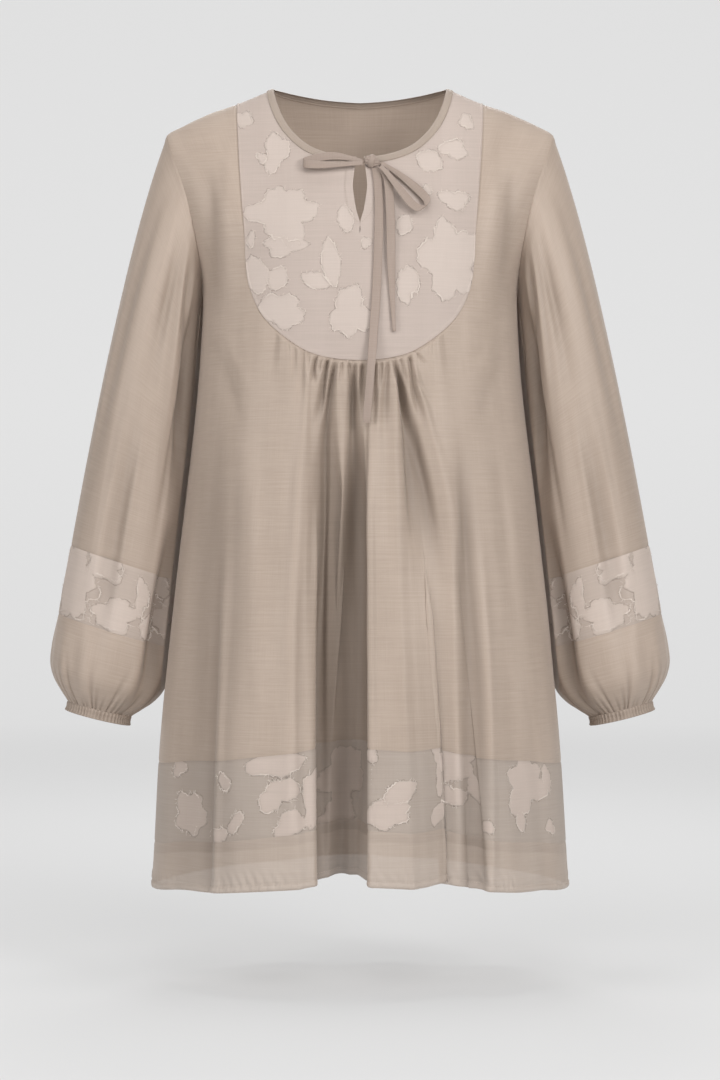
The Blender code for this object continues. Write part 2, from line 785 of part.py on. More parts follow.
def material(name, colour, roughness):
    made = bpy.data.materials.new(name)
    made.use_nodes = True
    shader = made.node_tree.nodes["Principled BSDF"]
    shader.inputs["Base Color"].default_value = (*colour, 1.0)
    shader.inputs["Roughness"].default_value = roughness
    return made


def dress():
    """Gives each piece its cloth."""
    plain = material("plain_cloth", (0.44, 0.35, 0.28), 0.55)
    sheer = material("sheer_cloth", (0.47, 0.39, 0.33), 0.6)
    floral = material("floral_cloth", (0.58, 0.49, 0.43), 0.65)
    for piece in GARMENT.objects:
        cloth = floral if piece.name.startswith(("yoke", "sleeve_band", "hem_band")) else plain
        cloth = sheer if piece.name.startswith("hem_edge") else cloth
        piece.data.materials.append(cloth)


def make_garment():
    yoke_edge, panel_edge = Seam(FRONT, YOKE_SEAM), Seam(FRONT, YOKE_SEAM, SEAM_GAP)
    necks = {
        side: (Seam(side, rows), Seam(side, rows, BINDING_WIDTH), Seam(side, rows, BINDING_WIDTH + BINDING_GAP))
        for side, rows in ((FRONT, NECKLINE_FRONT), (BACK, NECKLINE_BACK))
    }
    yoke(necks[FRONT][2], yoke_edge)
    torso_panel("front_body", FRONT, panel_edge, FRONT_FAN, FRONT_ROWS, FRONT_SPACING)
    torso_panel("back_body", BACK, necks[BACK][2], BACK_FAN, BACK_ROWS, BACK_SPACING)
    neck_binding(necks[FRONT], necks[BACK])
    for word, side, fan in (("front", FRONT, FRONT_FAN), ("back", BACK, BACK_FAN)):
        hem_piece(f"hem_band_{word}", side, fan, BAND_TOP, BAND_BOTTOM, 1, last=False)
        hem_piece(f"hem_edge_{word}", side, fan, BAND_BOTTOM, HEM_EDGE, 1, last=True)
    sleeve("left", LEFT)
    sleeve("right", RIGHT)
    tie_knot()
    strip("tie_loop_left", LOOP_LEFT, 2, loop=True)
    strip("tie_loop_right", LOOP_RIGHT, 2, loop=True)
    strip("tie_end_long", LONG_END, 3, narrows=0.1)
    strip("tie_end_short", SHORT_END, 3, narrows=0.6)


for old in list(bpy.data.objects):
    bpy.data.objects.remove(old)
GARMENT = bpy.data.collections.new("tunic_top")
bpy.context.scene.collection.children.link(GARMENT)
make_garment()
dress()
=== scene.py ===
"""The looks of the tunic top: thin cloth with folds, gathers, sheer floral bands, seams and a tied bow.

Metres, +Z up, the front faces -Y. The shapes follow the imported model's own curves at a finer size.
"""

import math
from collections import namedtuple

import bpy
import numpy as np
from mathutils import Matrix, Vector


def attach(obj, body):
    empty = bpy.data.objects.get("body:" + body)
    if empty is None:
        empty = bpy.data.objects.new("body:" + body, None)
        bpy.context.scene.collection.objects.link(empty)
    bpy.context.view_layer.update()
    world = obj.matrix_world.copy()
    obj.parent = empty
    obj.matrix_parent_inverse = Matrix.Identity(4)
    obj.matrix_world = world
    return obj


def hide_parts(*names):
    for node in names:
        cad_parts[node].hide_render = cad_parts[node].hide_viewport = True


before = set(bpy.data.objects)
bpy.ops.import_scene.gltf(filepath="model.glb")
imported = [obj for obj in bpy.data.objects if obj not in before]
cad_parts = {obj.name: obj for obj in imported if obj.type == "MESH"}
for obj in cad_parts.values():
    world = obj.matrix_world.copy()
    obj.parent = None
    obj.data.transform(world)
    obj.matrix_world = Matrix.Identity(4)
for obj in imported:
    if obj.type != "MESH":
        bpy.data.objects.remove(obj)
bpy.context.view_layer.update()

MM = 0.001
FRONT, BACK = -1, 1
LEFT, RIGHT = -1, 1
SEAM_GAP = 0.3 * MM

# The figure's sections, the same as in the model
SECTION_POWER = 2.2
SHOULDER_POWER = 1.7
Section = namedtuple("Section", "z half_width front back")
TORSO = [
    Section(-800, 208, 138, 131),
    Section(-670, 201, 134, 124),
    Section(-550, 190, 131, 116),
    Section(-430, 177, 129, 109),
    Section(-320, 164, 127, 104),
    Section(-270, 159.5, 125, 104),
    Section(-215, 157, 117, 106),
    Section(-195, 158.1, 111, 107),
    Section(-172, 163, 105, 107),
    Section(-147, 172.4, 99, 106),
    Section(-115, 186, 89, 104),
    Section(-95, 196, 83, 102),
    Section(-69, 209, 75, 100),
    Section(-46, 221, 70, 98),
    Section(0, 240, 62, 95),
    Section(40, 240, 58, 90),
]
Point = namedtuple("Point", "x z")
RIDGE = [
    Point(0, 22),
    Point(45, 13),
    Point(87, 0),
    Point(120, -13.5),
    Point(150, -24),
    Point(175, -35.5),
    Point(193.5, -46),
    Point(215, -64),
]
NECKLINE_FRONT = [
    Point(0, -76),
    Point(22, -73.5),
    Point(40, -68),
    Point(54, -60),
    Point(67, -47),
    Point(76, -33),
    Point(82, -18),
    Point(85, -7),
    Point(86.5, 0.2),
]
NECKLINE_BACK = [
    Point(0, -6),
    Point(30, -5),
    Point(58, -2.5),
    Point(76, -0.5),
    Point(86.5, 0.2),
]
YOKE_SEAM = [
    Point(0, -277.5),
    Point(27, -275.5),
    Point(52, -268),
    Point(78, -250),
    Point(96, -230),
    Point(107, -205),
    Point(111, -180),
    Point(112.5, -150),
    Point(116, -110),
    Point(120, -62),
    Point(123, -12.6),
]
ARMHOLE = [
    Point(157, -215),
    Point(157.5, -195),
    Point(159.5, -172),
    Point(163.5, -147),
    Point(170.5, -115),
    Point(176.5, -95),
    Point(185.5, -69),
    Point(193.5, -46),
]
BINDING_WIDTH = 7 * MM
BINDING_GAP = 0.55 * MM
Level = namedtuple("Level", "centre side")
BAND_TOP = Level(-647, -671)
BAND_BOTTOM = Level(-724, -750)
HEM_EDGE = Level(-778, -795)
LEVEL_POWER = 1.4
FOLD_RISE = 0.16

# Columns of cloth in half a panel: how many run from this share of the inner seam to this share of an edge
Fan = namedtuple("Fan", "columns inner_to edge edge_to")
FRONT_FAN = [
    Fan(100, 0.25, "hem", 0.50),
    Fan(36, 0.45, "hem", 1.00),
    Fan(18, 0.60, "side", 1.00),
    Fan(36, 1.00, "armhole", 1.00),
]
BACK_FAN = [
    Fan(56, 0.45, "hem", 0.75),
    Fan(16, 0.55, "hem", 1.00),
    Fan(14, 0.70, "side", 1.00),
    Fan(32, 1.00, "armhole", 1.00),
]
Slit = namedtuple("Slit", "z half_width")
SLIT = [
    Slit(-280, 0.02),
    Slit(-160, 0.05),
    Slit(-143, 0.1),
    Slit(-130, 3.4),
    Slit(-106, 6.8),
    Slit(-92, 5.8),
    Slit(-76, 3.6),
]
SLIT_TIP = -143 * MM

# Hanging folds, the same as in the model
Fold = namedtuple("Fold", "side top_left top_right hem_left hem_right soft_left soft_right depth starts")
FOLDS = [
    Fold(FRONT, -0.95, -0.80, -0.93, -0.80, 0.10, 0.14, -7, -220),
    Fold(FRONT, -0.74, -0.34, -0.74, -0.24, 0.20, 0.10, 13, -250),
    Fold(FRONT, -0.29, -0.13, -0.19, -0.09, 0.07, 0.09, -25, -283),
    Fold(FRONT, -0.07, 0.00, -0.11, 0.01, 0.09, 0.05, -32, -290),
    Fold(FRONT, 0.05, 0.22, 0.045, 0.28, 0.035, 0.09, 14, -283),
    Fold(FRONT, 0.28, 0.36, 0.33, 0.44, 0.08, 0.16, -21, -283),
    Fold(FRONT, 0.44, 0.56, 0.56, 0.78, 0.09, 0.14, 9, -240),
    Fold(FRONT, 0.70, 0.78, 0.84, 0.90, 0.08, 0.06, -5, -200),
    Fold(BACK, -0.80, -0.62, -0.82, -0.60, 0.12, 0.14, -12, -260),
    Fold(BACK, -0.50, -0.30, -0.52, -0.28, 0.16, 0.14, 11, -240),
    Fold(BACK, -0.18, -0.06, -0.20, -0.04, 0.10, 0.12, -14, -230),
    Fold(BACK, 0.10, 0.24, 0.08, 0.26, 0.12, 0.12, 12, -250),
    Fold(BACK, 0.34, 0.46, 0.34, 0.50, 0.10, 0.14, -16, -240),
    Fold(BACK, 0.60, 0.80, 0.62, 0.82, 0.14, 0.12, 10, -270),
]
FOLD_TOP, FOLD_HEM = -280 * MM, -780 * MM

# Creases in the cloth, each along a curve through three points. Widths are at its top and its end; depth is
# outwards; fade is the share of its length over which it dies out
Crease = namedtuple("Crease", "side x0 z0 x1 z1 x2 z2 width0 width2 depth fade")
CREASES = [
    Crease(FRONT, -41.2, -273, -44.1, -286, -43.1, -303, 1.5, 3.0, -3.4, 0.5),
    Crease(FRONT, -30.7, -276, -35.9, -306, -40.2, -346, 1.8, 4.5, -5.0, 0.5),
    Crease(FRONT, -24.0, -279, -30.7, -321, -31.5, -480, 2.4, 8.0, -5.2, 0.6),
    Crease(FRONT, -10.5, -280, -8.6, -310, -10.5, -346, 1.6, 4.0, -2.8, 0.6),
    Crease(FRONT, -4.8, -281, -4.4, -310, -3.8, -340, 1.3, 3.0, -2.4, 0.6),
    Crease(FRONT, 2.9, -281, 2.9, -310, 4.8, -356, 2.4, 5.0, -3.8, 0.6),
    Crease(FRONT, 14.4, -280, 13.4, -315, 11.5, -354, 1.4, 4.0, -3.2, 0.6),
    Crease(FRONT, 26.8, -279, 24.0, -315, 23.0, -366, 2.0, 7.0, -2.8, 0.6),
    Crease(FRONT, 32.1, -277, 55.0, -368, 76.6, -520, 2.0, 11.0, -5.6, 0.6),
    Crease(FRONT, 47.4, -273, 53.6, -310, 66.0, -350, 1.7, 5.0, -4.0, 0.6),
    Crease(FRONT, 51.7, -268, 58.4, -276, 66.0, -284, 1.1, 2.0, -1.5, 0.6),
    Crease(FRONT, 53.6, -296, 60.4, -308, 69.0, -324, 1.1, 2.4, -1.3, 0.6),
    Crease(FRONT, 38.5, -276, 43.0, -292, 48.0, -312, 1.2, 3.0, -1.9, 0.6),
    Crease(FRONT, 20.5, -280, 20.0, -292, 19.0, -310, 1.2, 2.6, -1.9, 0.6),
    Crease(FRONT, 8.6, -281, 8.4, -292, 8.0, -312, 1.2, 2.6, -1.7, 0.6),
    Crease(FRONT, -17.0, -280, -18.0, -292, -19.0, -308, 1.2, 2.6, -1.8, 0.6),
    Crease(FRONT, -36.0, -275, -38.5, -284, -39.5, -296, 1.1, 2.4, -1.6, 0.6),
    Crease(FRONT, -62.3, -264, -62.5, -280, -63.0, -302, 1.6, 4.0, -1.2, 0.6),
    Crease(FRONT, -54.6, -267, -55.5, -285, -57.0, -315, 1.6, 4.0, -1.5, 0.6),
    Crease(FRONT, -48.9, -270, -49.5, -285, -50.0, -302, 1.5, 3.4, -1.3, 0.6),
    Crease(FRONT, -19.2, -284, -21.1, -335, -9.6, -520, 3.0, 10.0, 3.4, 0.6),
    Crease(FRONT, 21.1, -288, 17.2, -345, 19.2, -520, 4.0, 12.0, 3.0, 0.6),
    Crease(FRONT, 35.4, -289, 34.5, -335, 43.1, -520, 3.0, 12.0, 2.8, 0.6),
    Crease(FRONT, 48.9, -279, 72.0, -360, 105.4, -530, 3.0, 13.0, 3.6, 0.6),
    Crease(FRONT, -48.9, -276, -54.6, -354, -67.0, -560, 3.0, 10.0, 3.0, 0.6),
    Crease(FRONT, -20.0, -300, -19.5, -470, -18.0, -790, 12.0, 18.0, -13.0, 0.7),
    Crease(FRONT, -20.0, -370, -19.0, -470, -17.0, -600, 4.5, 5.5, -4.5, 0.3),
    Crease(FRONT, -1.0, -300, 1.0, -508, 2.0, -760, 3.6, 6.0, -7.0, 0.4),
    Crease(FRONT, -34.0, -330, -37.0, -540, -37.0, -760, 4.0, 6.0, -4.0, 0.4),
    Crease(FRONT, -16.0, -296, -16.0, -390, -15.0, -580, 4.4, 8.0, 5.0, 0.6),
    Crease(FRONT, -6.5, -281, -6.0, -350, -4.0, -560, 2.4, 5.5, -4.4, 0.5),
    Crease(FRONT, 96.0, -330, 108.0, -540, 108.0, -800, 7.0, 12.0, -9.0, 0.05),
    Crease(FRONT, 59.0, -420, 67.0, -600, 77.0, -800, 10.0, 13.0, 14.0, 0.05),
    Crease(FRONT, 38.0, -290, 47.0, -370, 50.0, -470, 3.0, 6.0, -5.0, 0.5),
    Crease(FRONT, -147.0, -310, -147.0, -540, -146.0, -800, 22.0, 27.0, -5.0, 0.05),
    Crease(FRONT, -148.5, -70, -145.6, -153, -139.0, -270, 6.0, 12.0, -3.2, 0.5),
    Crease(FRONT, 150.5, -70, 146.6, -153, 140.0, -270, 6.0, 12.0, -3.2, 0.5),
    Crease(FRONT, -128.0, -40, -130.0, -130, -126.0, -260, 6.0, 12.0, 1.8, 0.5),
    Crease(FRONT, 130.0, -40, 131.0, -130, 127.0, -260, 6.0, 12.0, 1.8, 0.5),
    Crease(FRONT, -152.0, -215, -128.0, -262, -98.0, -330, 4.0, 9.0, 1.1, 0.5),
    Crease(FRONT, -153.0, -232, -132.0, -286, -106.0, -372, 4.0, 9.0, -1.2, 0.5),
    Crease(FRONT, 152.0, -215, 130.0, -258, 102.0, -320, 4.0, 9.0, 1.1, 0.5),
    Crease(FRONT, 153.0, -232, 134.0, -282, 110.0, -360, 4.0, 9.0, -1.2, 0.5),
    Crease(FRONT, -104.0, -330, -100.0, -480, -96.0, -690, 8.0, 14.0, 1.8, 0.4),
    Crease(FRONT, -122.0, -330, -124.0, -480, -128.0, -690, 6.0, 10.0, -1.5, 0.4),
    Crease(FRONT, 88.0, -420, 98.0, -540, 104.0, -700, 7.0, 12.0, -2.2, 0.4),
    Crease(FRONT, 146.0, -360, 152.0, -500, 160.0, -700, 7.0, 12.0, 2.0, 0.4),
    Crease(BACK, -120.0, -60, -122.0, -180, -118.0, -330, 8.0, 16.0, -2.6, 0.5),
    Crease(BACK, 122.0, -60, 121.0, -190, 119.0, -340, 8.0, 16.0, -2.6, 0.5),
    Crease(BACK, -150.0, -200, -118.0, -260, -70.0, -330, 5.0, 11.0, 1.6, 0.6),
    Crease(BACK, 150.0, -200, 120.0, -256, 74.0, -322, 5.0, 11.0, 1.6, 0.6),
    Crease(BACK, -148.0, -226, -124.0, -300, -92.0, -400, 5.0, 11.0, -1.8, 0.6),
    Crease(BACK, 148.0, -226, 125.0, -296, 95.0, -392, 5.0, 11.0, -1.8, 0.6),
    Crease(BACK, -40.0, -120, -44.0, -320, -46.0, -640, 8.0, 15.0, 2.2, 0.4),
    Crease(BACK, 34.0, -140, 32.0, -340, 38.0, -660, 8.0, 15.0, 2.4, 0.4),
    Crease(BACK, -6.0, -160, -4.0, -360, -2.0, -680, 7.0, 13.0, -2.4, 0.4),
    Crease(BACK, 92.0, -200, 96.0, -400, 104.0, -680, 8.0, 14.0, -2.0, 0.4),
    Crease(BACK, -100.0, -220, -104.0, -420, -110.0, -680, 8.0, 14.0, 2.0, 0.4),
]

# Fold edges that roll over: cloth stands out on one side of the curve and sinks on the other
Roll = namedtuple("Roll", "side x0 z0 x1 z1 x2 z2 width depth fade")
ROLLS = [
    Roll(FRONT, -33, -330, -41, -520, -42, -800, 4.5, -4.6, 0.02),
    Roll(FRONT, 7.0, -300, 8.0, -520, 8.0, -800, 3.6, 4.6, 0.02),
    Roll(FRONT, 88.0, -400, 97.0, -600, 98.0, -800, 6.0, -2.2, 0.05),
    Roll(FRONT, 110.0, -420, 121.0, -600, 122.0, -800, 6.0, 2.4, 0.05),
    Roll(FRONT, -134.0, -430, -141.0, -600, -146.0, -800, 6.0, 2.2, 0.05),
    Roll(FRONT, -58.0, -420, -62.0, -560, -60.0, -760, 8.0, -1.8, 0.20),
    Roll(BACK, -30.0, -360, -36.0, -560, -38.0, -800, 6.0, -3.0, 0.02),
    Roll(BACK, 92.0, -380, 96.0, -580, 98.0, -800, 6.0, 3.0, 0.02),
]
GATHER_REACH = 0.25

# Creases that start at the gathers are this much deeper than their table says
DRAWN_UP = 1.5
GATHER_PUFF = 3.5 * MM
TUCK = 0.9 * MM
SIDE_LAP = 1.6 * MM

# Sleeve sections below the inset band's top, and the sleeve's folds, the same as in the model
Ring = namedtuple("Ring", "along x y z tilt half_width half_depth")
SLEEVE = [
    Ring(0, 236, 20, -473, 18, 57.5, 57),
    Ring(70, 246.5, 22, -541, 17, 59.5, 59),
    Ring(88, 249, 22, -558, 16.5, 60.5, 60),
    Ring(106, 252, 22, -575, 16, 60, 59.5),
    Ring(122, 255.5, 21, -590, 15, 57, 56),
    Ring(135, 258.5, 21, -602.5, 14.5, 50, 49),
    Ring(145, 260.5, 20, -612, 14, 41, 40),
    Ring(152, 262, 20, -619, 14, 33.5, 33),
    Ring(157, 263, 20, -623.5, 14, 31.5, 31),
    Ring(162, 264, 20, -628.5, 14, 33.5, 33),
]
BAND_END, PUFF_END, CUFF_END = 70, 152, 162
BODY_CLEARANCE = 4.5 * MM
LEAVING_SHOULDER = np.array((0.115, 0.0, -0.30))
LEAVING_UNDERARM = np.array((0.03, 0.0, -0.24))
ARRIVING = 0.36
ARMHOLE_SEAM, UNDERARM_SEAM = 1.5 * MM, 1.9 * MM

# Sleeve folds: angle 0 is outermost, 90 the front, 180 innermost; the fold drifts by this angle along its length
SleeveFold = namedtuple("SleeveFold", "angle half_angle depth start peak end drift")
SLEEVE_FOLDS = [
    SleeveFold(52, 22, 3.5, 0.04, 0.35, 1.05, 0),
    SleeveFold(84, 18, -6.5, 0.02, 0.30, 0.62, 0),
    SleeveFold(112, 16, 4.0, 0.10, 0.45, 1.00, 0),
    SleeveFold(142, 20, -15, 0.06, 0.42, 0.86, 0),
    SleeveFold(112, 14, -6.0, 0.03, 0.20, 0.62, 26),
    SleeveFold(78, 17, -8.0, 0.55, 0.90, 1.35, 0),
    SleeveFold(146, 17, -13.0, 0.74, 1.10, 1.70, -14),
    SleeveFold(246, 24, -9.0, 0.05, 0.40, 1.00, 0),
    SleeveFold(300, 22, 4.0, 0.15, 0.60, 1.20, 0),
]
TUCKED_BEHIND = [SleeveFold(214, 42, 21, 0.0, 0.22, 1.40, 0)]
SLEEVE_CREASES = [
    SleeveFold(94, 9, -1.8, 0.03, 0.24, 0.90, 26),
    SleeveFold(68, 12, 1.4, 0.02, 0.25, 0.70, 12),
    SleeveFold(40, 13, -1.3, 0.05, 0.40, 0.95, -6),
    SleeveFold(18, 12, 1.1, 0.10, 0.55, 1.00, 7),
    SleeveFold(120, 10, 1.6, 0.08, 0.35, 0.80, 10),
    SleeveFold(58, 9, -1.2, 0.42, 0.74, 1.20, 10),
    SleeveFold(132, 6, -2.2, 0.30, 0.60, 0.99, -12),
    SleeveFold(92, 7, 1.6, 0.55, 0.85, 1.30, -4),
    SleeveFold(64, 6, 1.2, 0.60, 0.88, 1.25, 3),
    SleeveFold(152, 7, 2.0, 0.20, 0.50, 0.95, 6),
    SleeveFold(168, 7, -2.0, 0.05, 0.30, 0.70, 4),
    SleeveFold(206, 8, 2.0, 0.10, 0.45, 0.95, 6),
    SleeveFold(228, 7, -2.0, 0.05, 0.40, 0.90, -8),
    SleeveFold(272, 8, 1.8, 0.10, 0.50, 1.10, 8),
    SleeveFold(318, 8, -1.8, 0.20, 0.60, 1.10, -6),
    SleeveFold(340, 8, 1.2, 0.10, 0.40, 0.80, 4),
]

# Tie, the same as in the model
TIE_WIDTH = 8.5 * MM
KNOT = Point(11.5, -81)
KNOT_SIZE = np.array((16, 9, 12)) * MM
KNOT_LIFT = 6.3 * MM
Step = namedtuple("Step", "x z lift")
LOOP_LEFT = [
    Step(3.2, -81, 3.6),
    Step(-10, -77.5, 3.2),
    Step(-25, -75, 3.6),
    Step(-41, -76.5, 3.8),
    Step(-53.5, -80, 4.4),
    Step(-55.5, -82, 7.4),
    Step(-51, -84, 10.4),
    Step(-38, -85, 10.4),
    Step(-19, -84.5, 9.5),
    Step(2.6, -83, 7.5),
]
LOOP_RIGHT = [
    Step(20.2, -82, 3.6),
    Step(34, -91, 3.6),
    Step(49, -103, 4),
    Step(61.5, -115, 4.6),
    Step(65.5, -123, 7),
    Step(61, -129, 10.2),
    Step(52.5, -127, 11.2),
    Step(40.5, -113, 11.5),
    Step(28, -96, 11),
    Step(20, -86.3, 8),
]
LONG_END = [
    Step(15.5, -87.2, 2.4),
    Step(17.5, -104, 2.6),
    Step(18.5, -132, 2.6),
    Step(17.5, -170, 2.6),
    Step(15.5, -215, 2.6),
    Step(13, -250, 4.5),
    Step(10.5, -285, 9.5),
    Step(6, -338, 8),
]
SHORT_END = [
    Step(23.5, -90, 5.8),
    Step(27.5, -103, 6.6),
    Step(29.5, -140, 5),
    Step(30, -175, 3.4),
    Step(31, -215, 3),
    Step(33, -250, 3),
]

# Woven motifs: where each sits, its half width and half height, its turn in degrees and its number of petals,
# where 1 is a leaf
Motif = namedtuple("Motif", "x z wide high turn petals")
MOTIF_SIZE = 1.2
YOKE_MOTIFS = [
    Motif(-115, -34, 8, 9, 10, 4),
    Motif(-83, -70, 13, 21, -12, 3),
    Motif(-97, -76, 5, 6, 30, 3),
    Motif(-72, -133, 33, 28, 8, 6),
    Motif(-74, -165, 20, 9, 8, 3),
    Motif(-106, -158, 5, 8, 0, 3),
    Motif(-101, -193, 11, 17, 15, 1),
    Motif(-80, -197, 9, 11, -25, 1),
    Motif(-75, -229, 23, 18, 5, 5),
    Motif(-28, -182, 8, 22, 8, 1),
    Motif(-43, -200, 13, 7, -20, 1),
    Motif(-10, -230, 21, 25, -8, 5),
    Motif(-14, -139, 7, 12, 10, 1),
    Motif(6, -163, 5, 6, 0, 3),
    Motif(93, -66, 17, 11, 12, 3),
    Motif(68, -79, 12, 10, -30, 1),
    Motif(93, -119, 16, 11, -8, 3),
    Motif(65, -109, 5, 6, 0, 3),
    Motif(88, -180, 27, 37, 10, 5),
    Motif(44, -202, 11, 24, 18, 2),
    Motif(43, -145, 7, 9, -20, 1),
    Motif(106, -36, 9, 8, 0, 3),
]
HEM_MOTIFS_FRONT = [
    Motif(-180, -673, 11, 10, 0, 3),
    Motif(-166, -715, 22, 22, 10, 5),
    Motif(-133, -683, 7, 12, -10, 2),
    Motif(-82, -663, 26, 15, 4, 4),
    Motif(-80, -690, 19, 19, -30, 2),
    Motif(-120, -722, 10, 12, -30, 2),
    Motif(-136, -734, 8, 11, 0, 3),
    Motif(-68, -722, 20, 13, 15, 3),
    Motif(-46, -694, 12, 30, 4, 4),
    Motif(-16, -676, 21, 27, 0, 5),
    Motif(-20, -712, 17, 13, 14, 4),
    Motif(39, -690, 16, 9, 25, 1),
    Motif(24, -711, 20, 16, 5, 5),
    Motif(9, -680, 6, 22, 0, 2),
    Motif(12, -655, 7, 7, 0, 3),
    Motif(65, -654, 8, 9, 0, 3),
    Motif(88, -664, 24, 22, 6, 5),
    Motif(87, -696, 15, 15, 20, 2),
    Motif(66, -679, 6, 16, 4, 2),
    Motif(65, -711, 7, 16, -6, 2),
    Motif(110, -690, 6, 13, 20, 1),
    Motif(123, -726, 7, 6, 0, 3),
    Motif(161, -688, 27, 29, 12, 6),
    Motif(155, -722, 6, 9, 10, 1),
    Motif(184, -683, 6, 13, 15, 1),
    Motif(186, -731, 8, 7, 0, 3),
]
HEM_MOTIFS_BACK = [
    Motif(-184, -690, 15, 18, 0, 4),
    Motif(-152, -712, 20, 18, 12, 5),
    Motif(-128, -678, 10, 15, -20, 2),
    Motif(-96, -672, 25, 17, 8, 4),
    Motif(-84, -710, 18, 15, -18, 3),
    Motif(-50, -690, 10, 22, 6, 1),
    Motif(-22, -668, 20, 16, -6, 5),
    Motif(-12, -708, 16, 13, 24, 3),
    Motif(26, -686, 13, 25, -10, 4),
    Motif(58, -712, 20, 13, 8, 3),
    Motif(72, -672, 16, 15, 14, 5),
    Motif(104, -694, 22, 25, -8, 6),
    Motif(136, -674, 9, 12, 20, 1),
    Motif(146, -716, 16, 15, 0, 3),
    Motif(178, -696, 17, 25, 5, 5),
]

# On the sleeves' bands x is the angle round the sleeve and z the distance below the band's top
SLEEVE_MOTIFS = [
    Motif(34, 32, 34, 38, 6, 6),
    Motif(72, 8, 22, 12, -8, 4),
    Motif(90, 52, 26, 16, 6, 5),
    Motif(116, 26, 8, 21, 10, 3),
    Motif(130, 55, 13, 13, 0, 4),
    Motif(146, 12, 10, 12, 20, 3),
    Motif(156, 40, 13, 19, 0, 4),
    Motif(180, 26, 21, 23, 12, 5),
    Motif(205, 56, 17, 12, -10, 3),
    Motif(226, 20, 21, 17, 6, 4),
    Motif(250, 50, 23, 20, 20, 5),
    Motif(272, 14, 10, 14, -12, 1),
    Motif(296, 38, 26, 28, -6, 6),
    Motif(324, 12, 14, 10, 14, 3),
    Motif(336, 58, 12, 10, 0, 2),
]


def ease(t):
    t = np.clip(t, 0.0, 1.0)
    return t * t * (3 - 2 * t)


def mix(a, b, t):
    return a + (b - a) * t


def hermite(start, leaving, end, arriving, t):
    return (
        start * (2 * t**3 - 3 * t**2 + 1)
        + leaving * (t**3 - 2 * t**2 + t)
        + end * (3 * t**2 - 2 * t**3)
        + arriving * (t**3 - t**2)
    )


def table(rows, key, value, at):
    """Column value of a table, where column key is at, on a smooth curve through the rows."""
    keys = np.array([getattr(row, key) for row in rows], float)
    values = np.array([getattr(row, value) for row in rows], float)
    slopes = np.empty_like(values)
    slopes[1:-1] = (values[2:] - values[:-2]) / (keys[2:] - keys[:-2])
    slopes[0] = (values[1] - values[0]) / (keys[1] - keys[0])
    slopes[-1] = (values[-1] - values[-2]) / (keys[-1] - keys[-2])
    at = np.clip(at, keys[0], keys[-1])
    i = np.clip(np.searchsorted(keys, at) - 1, 0, len(keys) - 2)
    step = keys[i + 1] - keys[i]
    return hermite(values[i], slopes[i] * step, values[i + 1], slopes[i + 1] * step, (at - keys[i]) / step)


def unevenness(n):
    """A repeatable value from 0 to 1 for the nth of a row of things."""
    return np.modf(np.abs(np.sin(np.asarray(n, float) * 12.9898 + 4.1) * 43758.5453))[0]


# The torso's surface


def ridge(x):
    return table(RIDGE, "x", "z", np.abs(x) / MM) * MM


def half_width(z):
    return table(TORSO, "z", "half_width", z / MM) * MM


def depth_of(side, z):
    return table(TORSO, "z", "front" if side == FRONT else "back", z / MM) * MM


def sideways(across):
    return np.sign(across) * np.abs(np.sin(across * math.pi / 2)) ** (2 / SECTION_POWER)


def fold_depth(side, share, z):
    """How far the hanging folds push the cloth out at a share of the half width."""
    down = (FOLD_TOP - z) / (FOLD_TOP - FOLD_HEM)
    total = np.zeros(np.broadcast(share, z).shape)
    for fold in FOLDS:
        if fold.side != side:
            continue
        left = mix(fold.top_left, fold.hem_left, down)
        right = mix(fold.top_right, fold.hem_right, down)
        inside = ease((share - left) / fold.soft_left + 0.5) * ease((right - share) / fold.soft_right + 0.5)
        grown = ease((fold.starts * MM - z) / (fold.starts * MM - FOLD_HEM))
        total = total + fold.depth * MM * inside * mix(grown, np.sqrt(grown), 0.6)
    return total * (1 - np.abs(share) ** 6)


def torso(side, across, drop, out=0.0):
    """Points of the cloth's middle surface, moved out from the body by out."""
    across, drop = np.broadcast_arrays(np.asarray(across, float), np.asarray(drop, float))
    x = half_width(-drop) * sideways(across)
    for _ in range(8):
        z = ridge(x) - drop
        x = half_width(z) * sideways(across)
    reach = np.clip((np.abs(x) - 0.080) / 0.110, 0.0, 1.0)
    rounding = mix(0.150 if side == FRONT else 0.120, 0.090, reach)
    over = (1 - (1 - np.clip(drop / rounding, 0.0, 1.0)) ** SHOULDER_POWER) ** (1 / SHOULDER_POWER)
    bulge = np.maximum(np.cos(across * math.pi / 2), 0.0) ** (2 / SECTION_POWER)
    depth = depth_of(side, z) * over * bulge + fold_depth(side, sideways(across), z) + out
    return np.stack([x, side * (depth + SEAM_GAP / 2), z], axis=-1)


def place_of(x, z):
    """The (across, drop) of places given by their x and height."""
    x, z = np.broadcast_arrays(np.asarray(x, float), np.asarray(z, float))
    share = np.clip(np.abs(x) / half_width(z), 0.0, 1.0) ** (SECTION_POWER / 2)
    return np.copysign(2 / math.pi * np.arcsin(share), x), np.maximum(ridge(x) - z, 0.0)


def level_of(level, side, across):
    """The (across, drop) of a level seam, which sinks towards the sides and rises where the cloth folds in."""
    across = np.asarray(across, float)
    z = mix(level.centre, level.side, np.abs(sideways(across)) ** LEVEL_POWER) * MM
    z = z - FOLD_RISE * fold_depth(side, sideways(across), z)
    return across, ridge(half_width(z) * sideways(across)) - z


